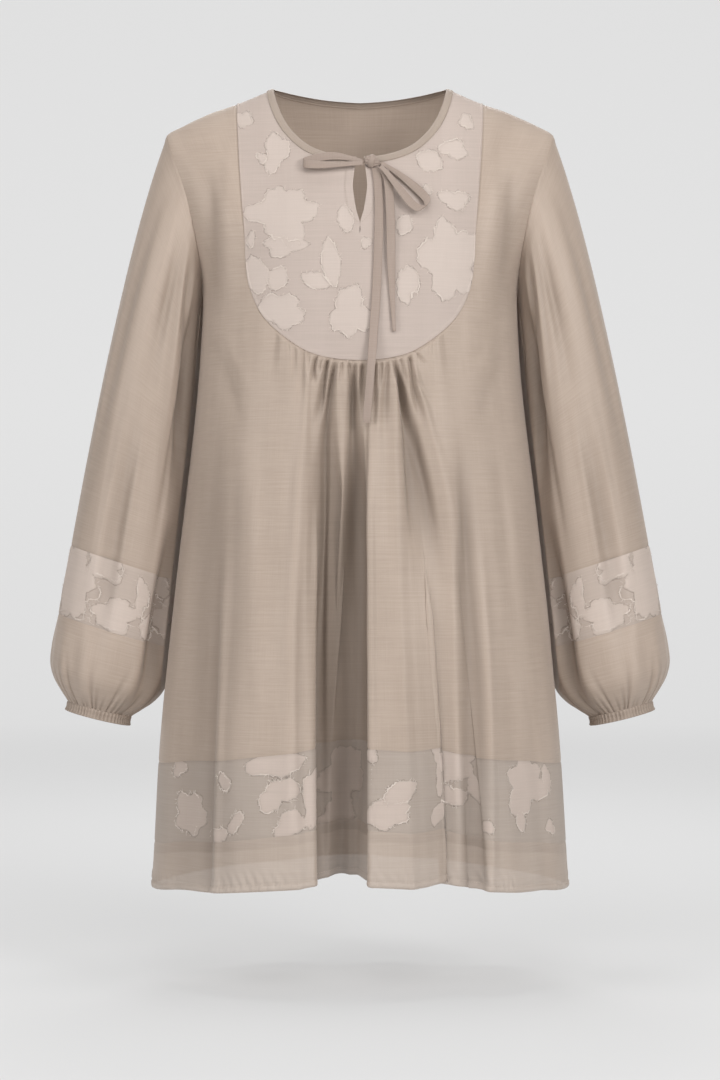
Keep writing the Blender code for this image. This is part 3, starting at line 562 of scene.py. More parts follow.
class Seam:
    """Half a seam on the torso, from the centre to the shoulder, measured by its length in space."""

    FINE = 480

    def __init__(self, side, rows, moved=0.0):
        self.side = side
        flat = along_curve([row[:2] for row in rows], np.linspace(0, 1, self.FINE + 1)) * MM
        self.across, self.drop = place_of(flat[:, 0], flat[:, 1])
        if moved:
            self.shift(moved)
        spots = torso(side, self.across, self.drop)
        self.lengths = np.concatenate([[0.0], np.cumsum(np.linalg.norm(np.diff(spots, axis=0), axis=1))])

    def shift(self, distance):
        """Moves the curve along the cloth, away from the neck."""
        step = 0.2 * MM
        above = np.maximum(self.drop - step, 0.0)
        spots = torso(self.side, self.across, self.drop)
        ahead = np.gradient(spots, axis=0)
        along = torso(self.side, self.across + step, self.drop) - torso(self.side, self.across - step, self.drop)
        along /= 2 * step
        down = torso(self.side, self.across, self.drop + step) - torso(self.side, self.across, above)
        down /= (self.drop + step - above)[:, None]
        away = unit(np.cross(ahead, np.cross(down, along))) * distance
        shared = dot(along, down)
        size = dot(along, along) * dot(down, down) - shared**2
        across = (dot(away, along) * dot(down, down) - dot(away, down) * shared) / size
        drop = (dot(away, down) * dot(along, along) - dot(away, along) * shared) / size
        self.across = self.across + across
        self.drop = self.drop + drop * ease(self.drop / (6 * MM))

    def at(self, share):
        """The (across, drop) at shares of the length."""
        wanted = np.asarray(share) * self.lengths[-1]
        return np.interp(wanted, self.lengths, self.across), np.interp(wanted, self.lengths, self.drop)


def along_curve(rows, share):
    """Points of the smooth curve through the rows. A first row at x 0 mirrors what follows."""
    rows = np.array(rows, float)
    before = rows[1] * np.array([-1.0, 1.0]) if rows[0][0] == 0 and rows.shape[1] == 2 else rows[0]
    padded = np.vstack([before, rows, rows[-1]])
    spot = np.asarray(share) * (len(rows) - 1)
    i = np.clip(spot.astype(int), 0, len(rows) - 2)
    t = (spot - i)[:, None]
    a, b, c, d = padded[i], padded[i + 1], padded[i + 2], padded[i + 3]
    return hermite(b, (c - a) / 2, c, (d - b) / 2, t)


def dot(a, b):
    return np.sum(a * b, axis=-1)


def unit(vectors):
    return vectors / np.maximum(np.linalg.norm(vectors, axis=-1, keepdims=True), 1e-12)


# Details of the cloth


def creased(side, x, z):
    """How far the creases push the cloth out."""
    x, z = x / MM, z / MM
    total = np.zeros(x.shape)
    for crease in CREASES:
        if crease.side != side:
            continue
        t = (crease.z0 - z) / (crease.z0 - crease.z2)
        middle = (crease.z0 - crease.z1) / (crease.z0 - crease.z2)
        s = np.clip(t, 0.0, 1.0)
        path = (
            crease.x0 * (s - middle) * (s - 1) / middle
            + crease.x1 * s * (s - 1) / (middle * (middle - 1))
            + crease.x2 * s * (s - middle) / (1 - middle)
        )
        width = mix(crease.width0, crease.width2, s)
        gathered = side == FRONT and crease.width0 < 3.2 and crease.z0 > -300
        long = ease((t + 0.03) / 0.09 if gathered else t / 0.30) * ease((1 - t) / crease.fade)
        drawn_up = DRAWN_UP if gathered and crease.depth < 0 else 1.0
        total += crease.depth * drawn_up * MM * np.exp(-(((x - path) / width) ** 2)) * long
    for roll in ROLLS:
        if roll.side != side:
            continue
        t = (roll.z0 - z) / (roll.z0 - roll.z2)
        middle = (roll.z0 - roll.z1) / (roll.z0 - roll.z2)
        s = np.clip(t, 0.0, 1.0)
        path = (
            roll.x0 * (s - middle) * (s - 1) / middle
            + roll.x1 * s * (s - 1) / (middle * (middle - 1))
            + roll.x2 * s * (s - middle) / (1 - middle)
        )
        away = (x - path) / roll.width
        long = ease(t / 0.35) * ease((1 - t) / roll.fade)
        total += 2.33 * roll.depth * MM * away * np.exp(-(away**2)) * long
    return total


def torso_painted_shade(side, spots, pressed):
    """How deep in a fold the cloth lies, from 0 to 1, as the amount of painted shade its colour gets."""
    share = spots[..., 0] / half_width(spots[..., 2])
    hung = fold_depth(side, share, spots[..., 2]) + 1.5 * np.clip(pressed, 0, None)
    return np.clip(np.clip(-hung / (20 * MM), 0, 1) * 0.75 + np.clip(-pressed / (7 * MM), 0, 1) * 0.6, 0, 1)


# Painted shade for the sleeves, from 0 to 1: darker deep in their folds and creases
def sleeve_painted_shade(folds, creases):
    return np.clip(np.clip(-folds / (13 * MM), 0, 1) * 0.5 + np.clip(-creases / (3 * MM), 0, 1) * 0.35, 0, 1)


def wavering(u, v):
    """Slight unevenness of hanging cloth, over metres u across and v down."""
    return (
        np.sin(u * 151 + 1.7 * np.sin(v * 17)) * np.sin(v * 11 + 1.3)
        + 0.6 * np.sin(u * 263 + v * 9 + 2.1)
        + 0.5 * np.sin(u * 67 - v * 23 + 0.6)
    ) * (0.28 * MM)


def facing_of(spots, inside):
    """Unit directions out of a grid of cloth, away from the points inside it."""
    out = unit(np.cross(np.gradient(spots, axis=1), np.gradient(spots, axis=0)))
    return out * np.sign(np.mean(dot(out, spots - inside)))


def motif_reach(motif, number, angle):
    """A motif's outline: its distance from the centre at each angle, as a share of its size."""
    a, b, c = unevenness(number * 3.0 + 1) * 6.28, unevenness(number * 5.0 + 2) * 6.28, unevenness(number + 9.0) * 6.28
    if motif.petals == 1:
        reach = 0.95 * (np.abs(np.cos(angle)) ** 1.5 + np.abs(np.sin(angle)) ** 1.5) ** (-1 / 1.5)
    else:
        reach = np.full(np.shape(angle), 0.44)
        broad = min(0.66 * math.sin(math.pi / motif.petals), 0.46)
        for petal in range(motif.petals):
            swing = unevenness(number * 7.0 + petal * 3 + 5) - 0.5
            size = mix(0.76, 1.08, unevenness(number * 11.0 + petal * 5 + 3))
            away = angle - a - (petal + 0.55 * swing) / motif.petals * 2 * math.pi
            reach = np.maximum(reach, petal_reach(away, 0.42 * size, 0.56 * size, broad))
    return reach + 0.030 * np.cos(9 * angle + b) + 0.024 * np.cos(17 * angle + c) + 0.018 * np.cos(31 * angle + a)


def petal_reach(angle, out, long, broad):
    """How far an oval petal reaches from the flower's centre at each angle from the petal's own line."""
    along, beside = np.cos(angle), np.sin(angle)
    a = (along / long) ** 2 + (beside / broad) ** 2
    b = along * out / long**2
    c = (out / long) ** 2 - 1
    return (b + np.sqrt(np.maximum(b * b - a * c, 0.0))) / a


def motif_distance(motifs, u, v):
    """How far inside the nearest motif each place is, in millimetres."""
    best = np.full(u.shape, -20.0)
    for number, (motif, x, z) in enumerate(motifs):
        turn = math.radians(motif.turn)
        across, up = (u - x) / MM / MOTIF_SIZE, (v - z) / MM / MOTIF_SIZE
        a = (across * math.cos(turn) + up * math.sin(turn)) / motif.wide
        b = (up * math.cos(turn) - across * math.sin(turn)) / motif.high
        from_centre, angle = np.hypot(a, b), np.arctan2(b, a)
        size = np.hypot(motif.wide * np.cos(angle), motif.high * np.sin(angle)) * MOTIF_SIZE
        best = np.maximum(best, (motif_reach(motif, number, angle) - from_centre) * size)
    return np.maximum(best, -20.0)


def motif_edge(motif, number, x, z, angle):
    """Places on a motif's outline."""
    turn = math.radians(motif.turn)
    reach = motif_reach(motif, number, angle) * MOTIF_SIZE
    a, b = motif.wide * MM * np.cos(angle) * reach, motif.high * MM * np.sin(angle) * reach
    return x + a * math.cos(turn) - b * math.sin(turn), z + a * math.sin(turn) + b * math.cos(turn)


# Building


def mesh_object(name, points, faces, smooth=True):
    mesh = bpy.data.meshes.new(name)
    mesh.from_pydata(np.asarray(points).tolist(), [], np.asarray(faces).tolist())
    mesh.polygons.foreach_set("use_smooth", np.full(len(mesh.polygons), smooth))
    mesh.update()
    piece = bpy.data.objects.new(name, mesh)
    bpy.context.scene.collection.objects.link(piece)
    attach(piece, "root")
    return piece


def grid(name, spots, uv, inside, closed=False, skip=None, motif=None, shade=None):
    """Cloth over a grid of points, facing away from the points inside it. uv is its place on the flat cloth."""
    rows, columns = spots.shape[0] - 1, spots.shape[1] - 1
    wide = columns if closed else columns + 1
    r, c = np.arange(rows)[:, None], np.arange(columns)[None, :]
    right = (c + 1) % wide
    faces = np.stack([r * wide + c, r * wide + right, (r + 1) * wide + right, (r + 1) * wide + c], axis=-1)
    corners = np.stack([uv[:-1, :-1], uv[:-1, 1:], uv[1:, 1:], uv[1:, :-1]], axis=2)
    if skip is not None:
        faces, corners = faces[~skip], corners[~skip]
    faces, corners = faces.reshape(-1, 4), corners.reshape(-1, 4, 2)
    turned = unit(np.cross(np.gradient(spots, axis=1), np.gradient(spots, axis=0)))
    if np.mean(dot(turned, spots - inside)) < 0:
        faces, corners = faces[:, ::-1], corners[:, ::-1]
    piece = mesh_object(name, spots[:, :wide].reshape(-1, 3), faces)
    layer = piece.data.uv_layers.new(name="cloth")
    layer.data.foreach_set("uv", corners.reshape(-1))
    for word, worth in (("motif", motif), ("shade", shade)):
        if worth is not None:
            values = piece.data.attributes.new(word, "FLOAT", "POINT")
            values.data.foreach_set("value", np.broadcast_to(worth, spots.shape[:2])[:, :wide].reshape(-1))
    return piece


def axis_of(spots):
    """The garment's own axis beside each point."""
    return spots * np.array([0.0, 0.0, 1.0])


def fan_lines(fan):
    """Inner share, edge and edge share of each line of cloth in a panel, from one side to the other."""
    lines = [(0.0, fan[0].edge, 0.0)]
    for n, part in enumerate(fan):
        inner_from = fan[n - 1].inner_to if n else 0.0
        edge_from = fan[n - 1].edge_to if n and fan[n - 1].edge == part.edge else 0.0
        for step in range(1, part.columns + 1):
            share = step / part.columns
            lines.append((mix(inner_from, part.inner_to, share), part.edge, mix(edge_from, part.edge_to, share)))
    whole = [(-inner, edge, -share) for inner, edge, share in lines[:0:-1]] + lines
    inner = np.array([line[0] for line in whole])
    edges = np.array([line[1] for line in whole])
    shares = np.array([line[2] for line in whole])
    return inner, edges, shares


def torso_panel(name, side, seam, fan, rows, spacing):
    """A front or back panel, spread like a fan from its inner seam to the hem, sides and armholes."""
    inner, edges, shares = fan_lines(fan)
    across0, drop0 = seam.at(np.abs(inner))
    across0 = np.copysign(across0, inner) * (inner != 0)
    across1, drop1 = level_of(BAND_TOP, side, np.where(edges == "hem", shares, 0.5))
    corner = level_of(BAND_TOP, side, np.array([1.0]))
    top = place_of(0.157, -0.215)
    on_side = edges == "side"
    across1 = np.where(on_side, np.sign(shares), across1)
    drop1 = np.where(on_side, mix(corner[1][0], top[1], np.abs(shares)), drop1)
    hole = Seam(side, ARMHOLE).at(np.abs(shares))
    on_hole = edges == "armhole"
    across1 = np.where(on_hole, np.copysign(hole[0], shares), across1)
    drop1 = np.where(on_hole, hole[1], drop1)
    down = (np.arange(rows + 1)[:, None] / rows) ** spacing
    across, drop = mix(across0[None], across1[None], down), mix(drop0[None], drop1[None], down)
    spots = torso(side, across, drop)
    length = np.linalg.norm(spots[-1] - spots[0], axis=-1)[None]
    below = down * length
    out = creased(side, spots[..., 0], spots[..., 2]) + wavering(spots[..., 0], spots[..., 2]) * ease(below / 0.05)
    left = (1 - down) * length
    out -= TUCK * (1 - ease(below / (3 * MM)))
    out -= 0.5 * MM * np.exp(-((left / (1.6 * MM)) ** 2))
    if side == FRONT:
        edge = ease((GATHER_REACH - np.abs(inner)) / (0.12 * GATHER_REACH))[None]
        out += GATHER_PUFF * ease(below / (4 * MM)) * (1 - ease(below / (60 * MM))) * edge
        x = spots[..., 0] / MM
        tiny = np.sin(x * 2.05 + 1.6 * np.sin(x * 0.31)) * (0.55 + 0.45 * np.sin(x * 0.47 + 1))
        tiny = tiny * np.exp(-below / (11 * MM)) * ease(below / (0.8 * MM))
        out += 0.75 * MM * tiny * edge
    out *= np.where(on_side | on_hole, ease(left / (8 * MM)), 1.0)
    # Painted shade in the folds and creases, kept in the shade attribute
    shade = torso_painted_shade(side, spots, creased(side, spots[..., 0], spots[..., 2]))
    spots = spots + facing_of(spots, axis_of(spots)) * out[..., None]
    uv = np.stack([across * 0.36, spots[..., 2]], axis=-1)
    return grid(name, spots, uv, axis_of(spots), shade=shade)


def hem_across(fan):
    inner, edges, shares = fan_lines(fan)
    return shares[edges == "hem"]


def hem_piece(name, side, fan, top, bottom, rows, motifs=(), last=False):
    """A band round half the hem, between two level seams. The last one is turned up and stitched at its edge."""
    across = hem_across(fan)
    down = np.arange(rows + 1)[:, None] / rows
    above, below = level_of(top, side, across), level_of(bottom, side, across)
    drop = mix(above[1][None], below[1][None], down)
    flat = np.broadcast_to(across[None], drop.shape)
    spots = torso(side, flat, drop)
    along = np.concatenate([[0.0], np.cumsum(np.linalg.norm(np.diff(spots[0], axis=0), axis=1))])
    along = np.broadcast_to((along - along[len(along) // 2])[None], drop.shape)
    height = (below[1] - above[1])[None]
    from_top, from_end = down * height, (1 - down) * height
    out = creased(side, spots[..., 0], spots[..., 2]) + wavering(spots[..., 0], spots[..., 2])
    out -= 0.5 * MM * np.exp(-((from_top / (1.6 * MM)) ** 2))
    motif, placed = None, []
    if last:
        pucker = np.sin(along / MM * 1.35 + 2.2 * np.sin(along / MM * 0.11)) * (0.6 + 0.4 * np.sin(along * 97))
        stitched = np.exp(-(((from_end - 6.2 * MM) / (1.3 * MM)) ** 2))
        turned = ease((7 * MM - from_end) / (1.2 * MM))
        slanted = np.sin((along + 0.5 * from_end) / MM * 0.62 + 1.7 * np.sin(along / MM * 0.045))
        slanted = slanted * (0.5 + 0.5 * np.sin(along * 41 + 0.5))
        out += turned * (0.45 * MM + 0.45 * MM * pucker) - 0.7 * MM * stitched
        out += 0.45 * MM * pucker * np.exp(-(((from_end - 9 * MM) / (5 * MM)) ** 2))
        out += 0.55 * MM * slanted * np.exp(-(((from_end - 9 * MM) / (9 * MM)) ** 2))
        out -= 1.2 * MM * np.exp(-((from_end / (0.8 * MM)) ** 2))
    else:
        out -= 0.5 * MM * np.exp(-((from_end / (1.6 * MM)) ** 2))
        middle = rows // 2
        order = spots[middle, :, 0]
        placed = [(m, np.interp(m.x * MM, order, along[0]), m.z * MM) for m in motifs]
        motif = motif_distance(placed, along, spots[..., 2])
        out += 0.35 * MM * ease(motif / 1.6)
    # Painted shade in the folds and creases, plus a painted dark strip below the turned-up edge's top seam, or a
    # painted dark line below the band's top seam
    shade = torso_painted_shade(side, spots, creased(side, spots[..., 0], spots[..., 2]))
    if last:
        shade = shade + 0.22 * ease((10.5 * MM - from_top) / (1.5 * MM)) * (0.7 + shade)
    else:
        shade = shade + 0.3 * np.exp(-((from_top / (2 * MM)) ** 2))
    shade = np.clip(shade, 0, 1)
    spots = spots + facing_of(spots, axis_of(spots)) * out[..., None]
    for end, inner in ((0, 1), (-1, -2)):
        spots[:, end] += unit(spots[:, end] - spots[:, inner]) * SIDE_LAP
    uv = np.stack([along, spots[..., 2]], axis=-1)
    piece = grid(name, spots, uv, axis_of(spots), motif=motif, shade=shade)

    def place(u, v, lift):
        share = np.interp(u, along[0], across)
        x = half_width(v) * sideways(share)
        spot = torso(side, share, ridge(x) - v)
        extra = creased(side, spot[..., 0], spot[..., 2]) + wavering(spot[..., 0], spot[..., 2]) + lift
        spot[..., 1] += side * extra
        return spot

    low, high = spots[-1, :, 2], spots[0, :, 2]
    high = np.where(shade[rows // 2] > 0.4, low, high)
    return piece, placed, place, lambda u: (np.interp(u, along[0], low), np.interp(u, along[0], high)), spots


def slit_shift(z, share):
    return table(SLIT, "z", "half_width", z / MM) * MM * (1 - share) ** 4


def yoke(neck, seam):
    """The yoke, a U round the neckline, parted at the centre by the slit."""
    count, rows = 150, 100
    column = np.arange(2 * count + 2)
    half = np.where(column > count, RIGHT, LEFT)
    share = np.where(half == RIGHT, column - count - 1, count - column) / count
    down = np.arange(rows + 1)[:, None] / rows
    start, end = neck.at(share), seam.at(share)
    across, drop = mix(start[0][None], end[0][None], down), mix(start[1][None], end[1][None], down)
    drawn = torso(FRONT, across, drop)
    shifted = drawn[..., 0] + slit_shift(drawn[..., 2], share[None])
    across = place_of(shifted, drawn[..., 2])[0] * half[None]
    spots = torso(FRONT, across, drop)
    placed = [(m, m.x * MM, m.z * MM) for m in YOKE_MOTIFS]
    motif = motif_distance(placed, spots[..., 0], spots[..., 2])
    length = np.linalg.norm(spots[-1] - spots[0], axis=-1)[None]
    left = (1 - down) * length
    out = 0.35 * MM * ease(motif / 1.6) + 0.4 * wavering(spots[..., 0], spots[..., 2])
    out += 0.9 * MM * np.exp(-(((left - 1.1 * MM) / (1.0 * MM)) ** 2))
    out += 0.12 * MM * np.sin(spots[..., 2] / MM * 0.9) * np.exp(-((left / (9 * MM)) ** 2))
    slit = np.abs(spots[..., 0]) - slit_shift(spots[..., 2], 0.0)
    beside = ease((spots[..., 2] - SLIT_TIP + 3 * MM) / (3 * MM))
    out += 0.5 * MM * np.exp(-(((slit - 0.8 * MM) / (0.9 * MM)) ** 2)) * beside
    out += 0.25 * MM * ease((8.4 * MM - slit) / (0.8 * MM)) * ease((spots[..., 2] - SLIT_TIP + 9 * MM) / (2 * MM))
    spots = spots + facing_of(spots, axis_of(spots)) * out[..., None]
    centre = (spots[1:, :-1] + spots[:-1, 1:]) / 2
    skip = (np.abs(centre[..., 0]) < 0.4 * MM) & (centre[..., 2] > SLIT_TIP) & (column[:-1] == count)[None]
    uv = np.stack([spots[..., 0], spots[..., 2]], axis=-1)
    piece = grid("yoke_cloth", spots, uv, axis_of(spots), skip=skip, motif=motif, shade=0.0)
    return piece, placed


def on_yoke(x, z, lift):
    across, drop = place_of(x, z)
    spots = torso(FRONT, across, drop)
    spots[..., 1] -= lift + 0.4 * wavering(spots[..., 0], spots[..., 2])
    return spots


def neck_binding(front, back):
    """The bias strip folded over the neckline, all round from one side of the slit to the other."""
    profile = [
        (1.04, -0.3),
        (1.02, 0.7),
        (0.93, 1.15),
        (0.74, 1.05),
        (0.50, 1.2),
        (0.24, 1.3),
        (0.06, 1.1),
        (-0.03, 0.5),
        (-0.05, -0.2),
        (0.0, -0.9),
        (0.2, -1.25),
        (0.6, -1.3),
        (1.0, -1.1),
    ]
    halves = []
    for side, (opening, outside) in ((FRONT, front), (BACK, back)):
        share = np.linspace(0, 1, 121)
        a, b = opening.at(share), outside.at(share)
        r = np.array([p[0] for p in profile])[:, None]
        lift = np.array([p[1] for p in profile])[:, None] * MM
        across, drop = mix(a[0][None], b[0][None], r), np.maximum(mix(a[1][None], b[1][None], r), 0.0)
        spots = torso(side, across, drop)
        up = facing_of(spots, axis_of(spots))
        pucker = 0.10 * MM * np.sin(np.arange(121) * 1.9)[None] * np.exp(-(((r - 0.8) / 0.2) ** 2))
        spots = spots + up * (lift + pucker)[..., None]
        spots[..., 1] -= side * SEAM_GAP / 2
        if side == FRONT:
            spots[..., 0] += slit_shift(spots[..., 2], 0.0) * (1 - share[None]) ** 4
        halves.append(spots)
    right = np.concatenate([halves[0], halves[1][:, -2::-1]], axis=1)
    left = right[:, ::-1][:, 1:] * np.array([-1.0, 1.0, 1.0])
    spots = np.concatenate([right, left], axis=1)
    along = np.concatenate([[0.0], np.cumsum(np.linalg.norm(np.diff(spots[4], axis=0), axis=1))])
    width = np.array([p[0] for p in profile])[:, None] * BINDING_WIDTH
    along, width = np.broadcast_arrays(along[None], width)
    uv = np.stack([along, width], axis=-1)
    centre = spots[4:5].mean(axis=1, keepdims=True)
    return grid("neck_binding_cloth", spots, uv, spots * 0 + centre, shade=0.0), spots


# Sleeves, drawn on the right side and mirrored


def ring_point(along, angle, out=0.0):
    row = {name: table(SLEEVE, "along", name, along) for name in Ring._fields[1:]}
    tilt = np.radians(row["tilt"])
    wide, deep = row["half_width"] * MM + out, row["half_depth"] * MM + out
    x = row["x"] * MM + np.cos(tilt) * np.cos(angle) * wide
    y = row["y"] * MM - np.sin(angle) * deep
    z = row["z"] * MM + np.sin(tilt) * np.cos(angle) * wide
    return np.stack(np.broadcast_arrays(x, y, z), axis=-1)


def clear_of_body(spots):
    """Flattens the sleeve where it would touch the body's side."""
    x, y, z = spots[..., 0], spots[..., 1], spots[..., 2]
    depth = np.where(y < 0, depth_of(FRONT, z), depth_of(BACK, z))
    inside = np.maximum(1 - (np.abs(y) / depth) ** SECTION_POWER, 0.0) ** (1 / SECTION_POWER)
    below = (ARMHOLE[0].z * MM - z) / (60 * MM)
    nearest = half_width(z) * inside + mix(UNDERARM_SEAM, BODY_CLEARANCE, ease(below))
    x = np.where(z > ARMHOLE[0].z * MM, x, np.maximum(x, nearest))
    return np.stack([x, y, z], axis=-1)


def sleeve_fold(folds, angle, share):
    """How far the sleeve's folds push its cloth out."""
    total = np.zeros(np.broadcast(angle, share).shape)
    for fold in folds:
        centre = fold.angle + fold.drift * (share - fold.start) / (fold.end - fold.start)
        away = np.abs((np.degrees(angle) - centre + 180) % 360 - 180) / fold.half_angle
        near, far = fold.peak - fold.start, fold.end - fold.peak
        long = ease((share - fold.start) / near) * ease((fold.end - share) / far)
        total = total + fold.depth * MM * np.cos(np.minimum(away, 1.0) * math.pi / 2) ** 2 * long
    return total


def row_middle(spots):
    return spots * 0 + spots.mean(axis=1, keepdims=True)


def mirrored(spots, side):
    return spots * np.array([side, 1.0, 1.0])


def upper_sleeve(word, side):
    """From the armhole, line by line, to the inset band."""
    columns, rows = 192, 150
    half = columns // 2
    column = np.arange(columns + 1)
    angle = math.pi * (1 - column / half)
    up = np.where(column <= half, column / half, 2 - column / half)
    starts = []
    for face in (FRONT, BACK):
        across, drop = Seam(face, ARMHOLE).at(up)
        starts.append(torso(face, across, drop))
    start = np.where((column <= half)[:, None], starts[0], starts[1])
    start[[0, half, columns], 1] = 0.0
    start[:, 0] += mix(0.9, -0.7, ease(up * 3.0)) * MM
    start[:, 1] -= np.where(column <= half, -0.6, 0.6) * MM * ease(np.abs(start[:, 1]) / (6 * MM))
    start[:, 2] -= 0.5 * MM * ease((up - 0.8) / 0.2)
    end = ring_point(0.0, angle)
    axis = unit(ring_point(1.0, angle) - end)
    leaving = mix(LEAVING_UNDERARM, LEAVING_SHOULDER, ((1 + np.cos(angle)) / 2)[:, None])
    leaving[:, 1] -= 0.05 * np.sin(angle)
    down = (np.arange(rows + 1) / rows)[:, None, None]
    spots = hermite(start[None], leaving[None], end[None], axis[None] * ARRIVING, down)
    share = down[..., 0]
    out_way = np.stack([np.cos(angle), -np.sin(angle), 0 * angle], axis=-1)[None]
    bulge = sleeve_fold(SLEEVE_FOLDS, angle[None], share) + sleeve_fold(TUCKED_BEHIND, angle[None], share)
    spots = spots + out_way * bulge[..., None]
    length = np.linalg.norm(np.diff(spots, axis=0), axis=-1).sum(axis=0)[None]
    from_seam, from_end = share * length, (1 - share) * length
    out = sleeve_fold(SLEEVE_CREASES, angle[None], share) + wavering(angle[None] * 0.058, spots[..., 2]) * share
    pucker = np.cos(up * 118)[None] * (0.5 + 0.5 * np.cos(up * 23 + 1))[None]
    out = out * ease(from_seam / 0.02)
    out += (0.7 * MM + 0.28 * MM * pucker) * np.exp(-(((from_seam - 4 * MM) / (4 * MM)) ** 2))
    out -= 0.5 * MM * np.exp(-((from_end / (1.6 * MM)) ** 2))
    spots = spots + facing_of(spots, row_middle(spots)) * out[..., None]
    spots = np.concatenate([spots[:1], clear_of_body(spots[1:])])
    uv = np.stack(np.broadcast_arrays(angle[None] * 0.07, -share * 0.43), axis=-1)
    spots = mirrored(spots, side)
    # Painted shade in the sleeve's folds and creases
    shade = sleeve_painted_shade(
        sleeve_fold(SLEEVE_FOLDS, angle[None], share), sleeve_fold(SLEEVE_CREASES, angle[None], share)
    )
    return grid(f"sleeve_{word}_cloth", spots, uv, row_middle(spots), closed=True, shade=shade), length


def sleeve_band(word, side):
    columns, rows = 216, 48
    angle = math.pi * (1 - 2 * np.arange(columns + 1) / columns)[None]
    along = (np.arange(rows + 1) / rows * BAND_END)[:, None]
    radius = 0.0585
    around = np.broadcast_to(angle * radius, (rows + 1, columns + 1))
    placed = []
    for m in SLEEVE_MOTIFS:
        turn = math.radians((m.x + 180) % 360 - 180)
        placed += [(m, turn * radius, -m.z * MM)]
    turns = [(m, x + w * 2 * math.pi * radius, z) for m, x, z in placed for w in (-1, 0, 1)]
    motif = motif_distance(turns, around, np.broadcast_to(-along * MM, around.shape))
    out = sleeve_fold(SLEEVE_FOLDS, angle, 1 + along * MM / 0.43)
    out = out + sleeve_fold(TUCKED_BEHIND, angle, 1 + along * MM / 0.43)
    out = out + sleeve_fold(SLEEVE_CREASES, angle, 1 + along * MM / 0.43) + wavering(angle * 0.058, -0.5 - along * MM)
    out = out + 0.35 * MM * ease(motif / 1.6)
    out -= 0.5 * MM * np.exp(-((along / 1.6) ** 2)) + 0.5 * MM * np.exp(-(((BAND_END - along) / 1.6) ** 2))
    spots = clear_of_body(ring_point(along, angle, out))
    spots = mirrored(spots, side)
    uv = np.stack([around, np.broadcast_to(-along * MM, around.shape)], axis=-1)
    at = 1 + along * MM / 0.43
    # Painted shade in the band's folds and creases
    shade = sleeve_painted_shade(1.3 * sleeve_fold(SLEEVE_FOLDS, angle, at), sleeve_fold(SLEEVE_CREASES, angle, at))
    piece = grid(f"sleeve_band_{word}_cloth", spots, uv, row_middle(spots), closed=True, motif=motif, shade=shade)

    def place(u, v, lift):
        turn, down = u / radius, -v / MM
        push = sleeve_fold(SLEEVE_FOLDS, turn, 1 + down * MM / 0.43)
        push = push + sleeve_fold(SLEEVE_CREASES, turn, 1 + down * MM / 0.43)
        push = push + sleeve_fold(TUCKED_BEHIND, turn, 1 + down * MM / 0.43)
        push = push + wavering(turn * 0.058, -0.5 - down * MM) + lift
        return mirrored(clear_of_body(ring_point(down, turn, push)), side)

    return piece, placed, place, lambda u: (0 * u - BAND_END * MM, 0 * u)


def cuff_gathers(angle, from_cuff):
    """Uneven creases that run up from the cuff, at distances in millimetres above it."""
    total = np.zeros(np.broadcast(angle, from_cuff).shape)
    count = 42
    for n in range(count):
        centre = (n + 0.7 * unevenness(n)) / count * 2 * math.pi
        long = 12 + 60 * unevenness(n + 70) ** 2.0
        deep = mix(0.9, 2.1, unevenness(n + 140)) * (1.5 if long > 36 else 1.0)
        lean = (unevenness(n + 210) - 0.5) * 0.16
        away = (angle - centre - lean * from_cuff / 30 + math.pi) % (2 * math.pi) - math.pi
        wide = (0.022 if long > 36 else 0.034) + 0.0008 * from_cuff
        total = total - deep * MM * np.exp(-((away / wide) ** 2)) * (1 - ease(from_cuff / long))
    return total


def puff_bulges(angle, share):
    """Broad uneven swells of the puff."""
    swell = np.cos(9 * angle + 0.7) + 0.7 * np.cos(14 * angle + 2.0) + 0.5 * np.cos(5 * angle + 1.0)
    return 1.1 * MM * swell * np.sin(math.pi * np.clip(share, 0, 1))


def sleeve_puff(word, side):
    columns, rows = 560, 70
    angle = math.pi * (1 - 2 * np.arange(columns + 1) / columns)[None]
    down = (np.arange(rows + 1) / rows)[:, None]
    along = mix(BAND_END, PUFF_END, down ** 0.85)
    out = sleeve_fold(SLEEVE_FOLDS, angle, 1 + along * MM / 0.43) * (1 - 0.8 * ease(down))
    out = out + sleeve_fold(SLEEVE_CREASES, angle, 1 + along * MM / 0.43) * (1 - ease(down))
    out = out + sleeve_fold(TUCKED_BEHIND, angle, 1 + along * MM / 0.43) * (1 - ease(down * 1.1))
    out = out + cuff_gathers(angle, PUFF_END - along) + puff_bulges(angle, down)
    out -= 0.5 * MM * np.exp(-(((along - BAND_END) / 1.6) ** 2))
    spots = mirrored(clear_of_body(ring_point(along, angle, out)), side)
    uv = np.stack(np.broadcast_arrays(angle * 0.06, -along * MM), axis=-1)
    # Painted shade in the puff's folds and in the gathers above the cuff
    shade = sleeve_painted_shade(
        sleeve_fold(SLEEVE_FOLDS, angle, 1 + along * MM / 0.43) * (1.3 - 0.7 * ease(down)),
        cuff_gathers(angle, PUFF_END - along) * 2.2,
    )
    return grid(f"sleeve_puff_{word}_cloth", spots, uv, row_middle(spots), closed=True, shade=shade)


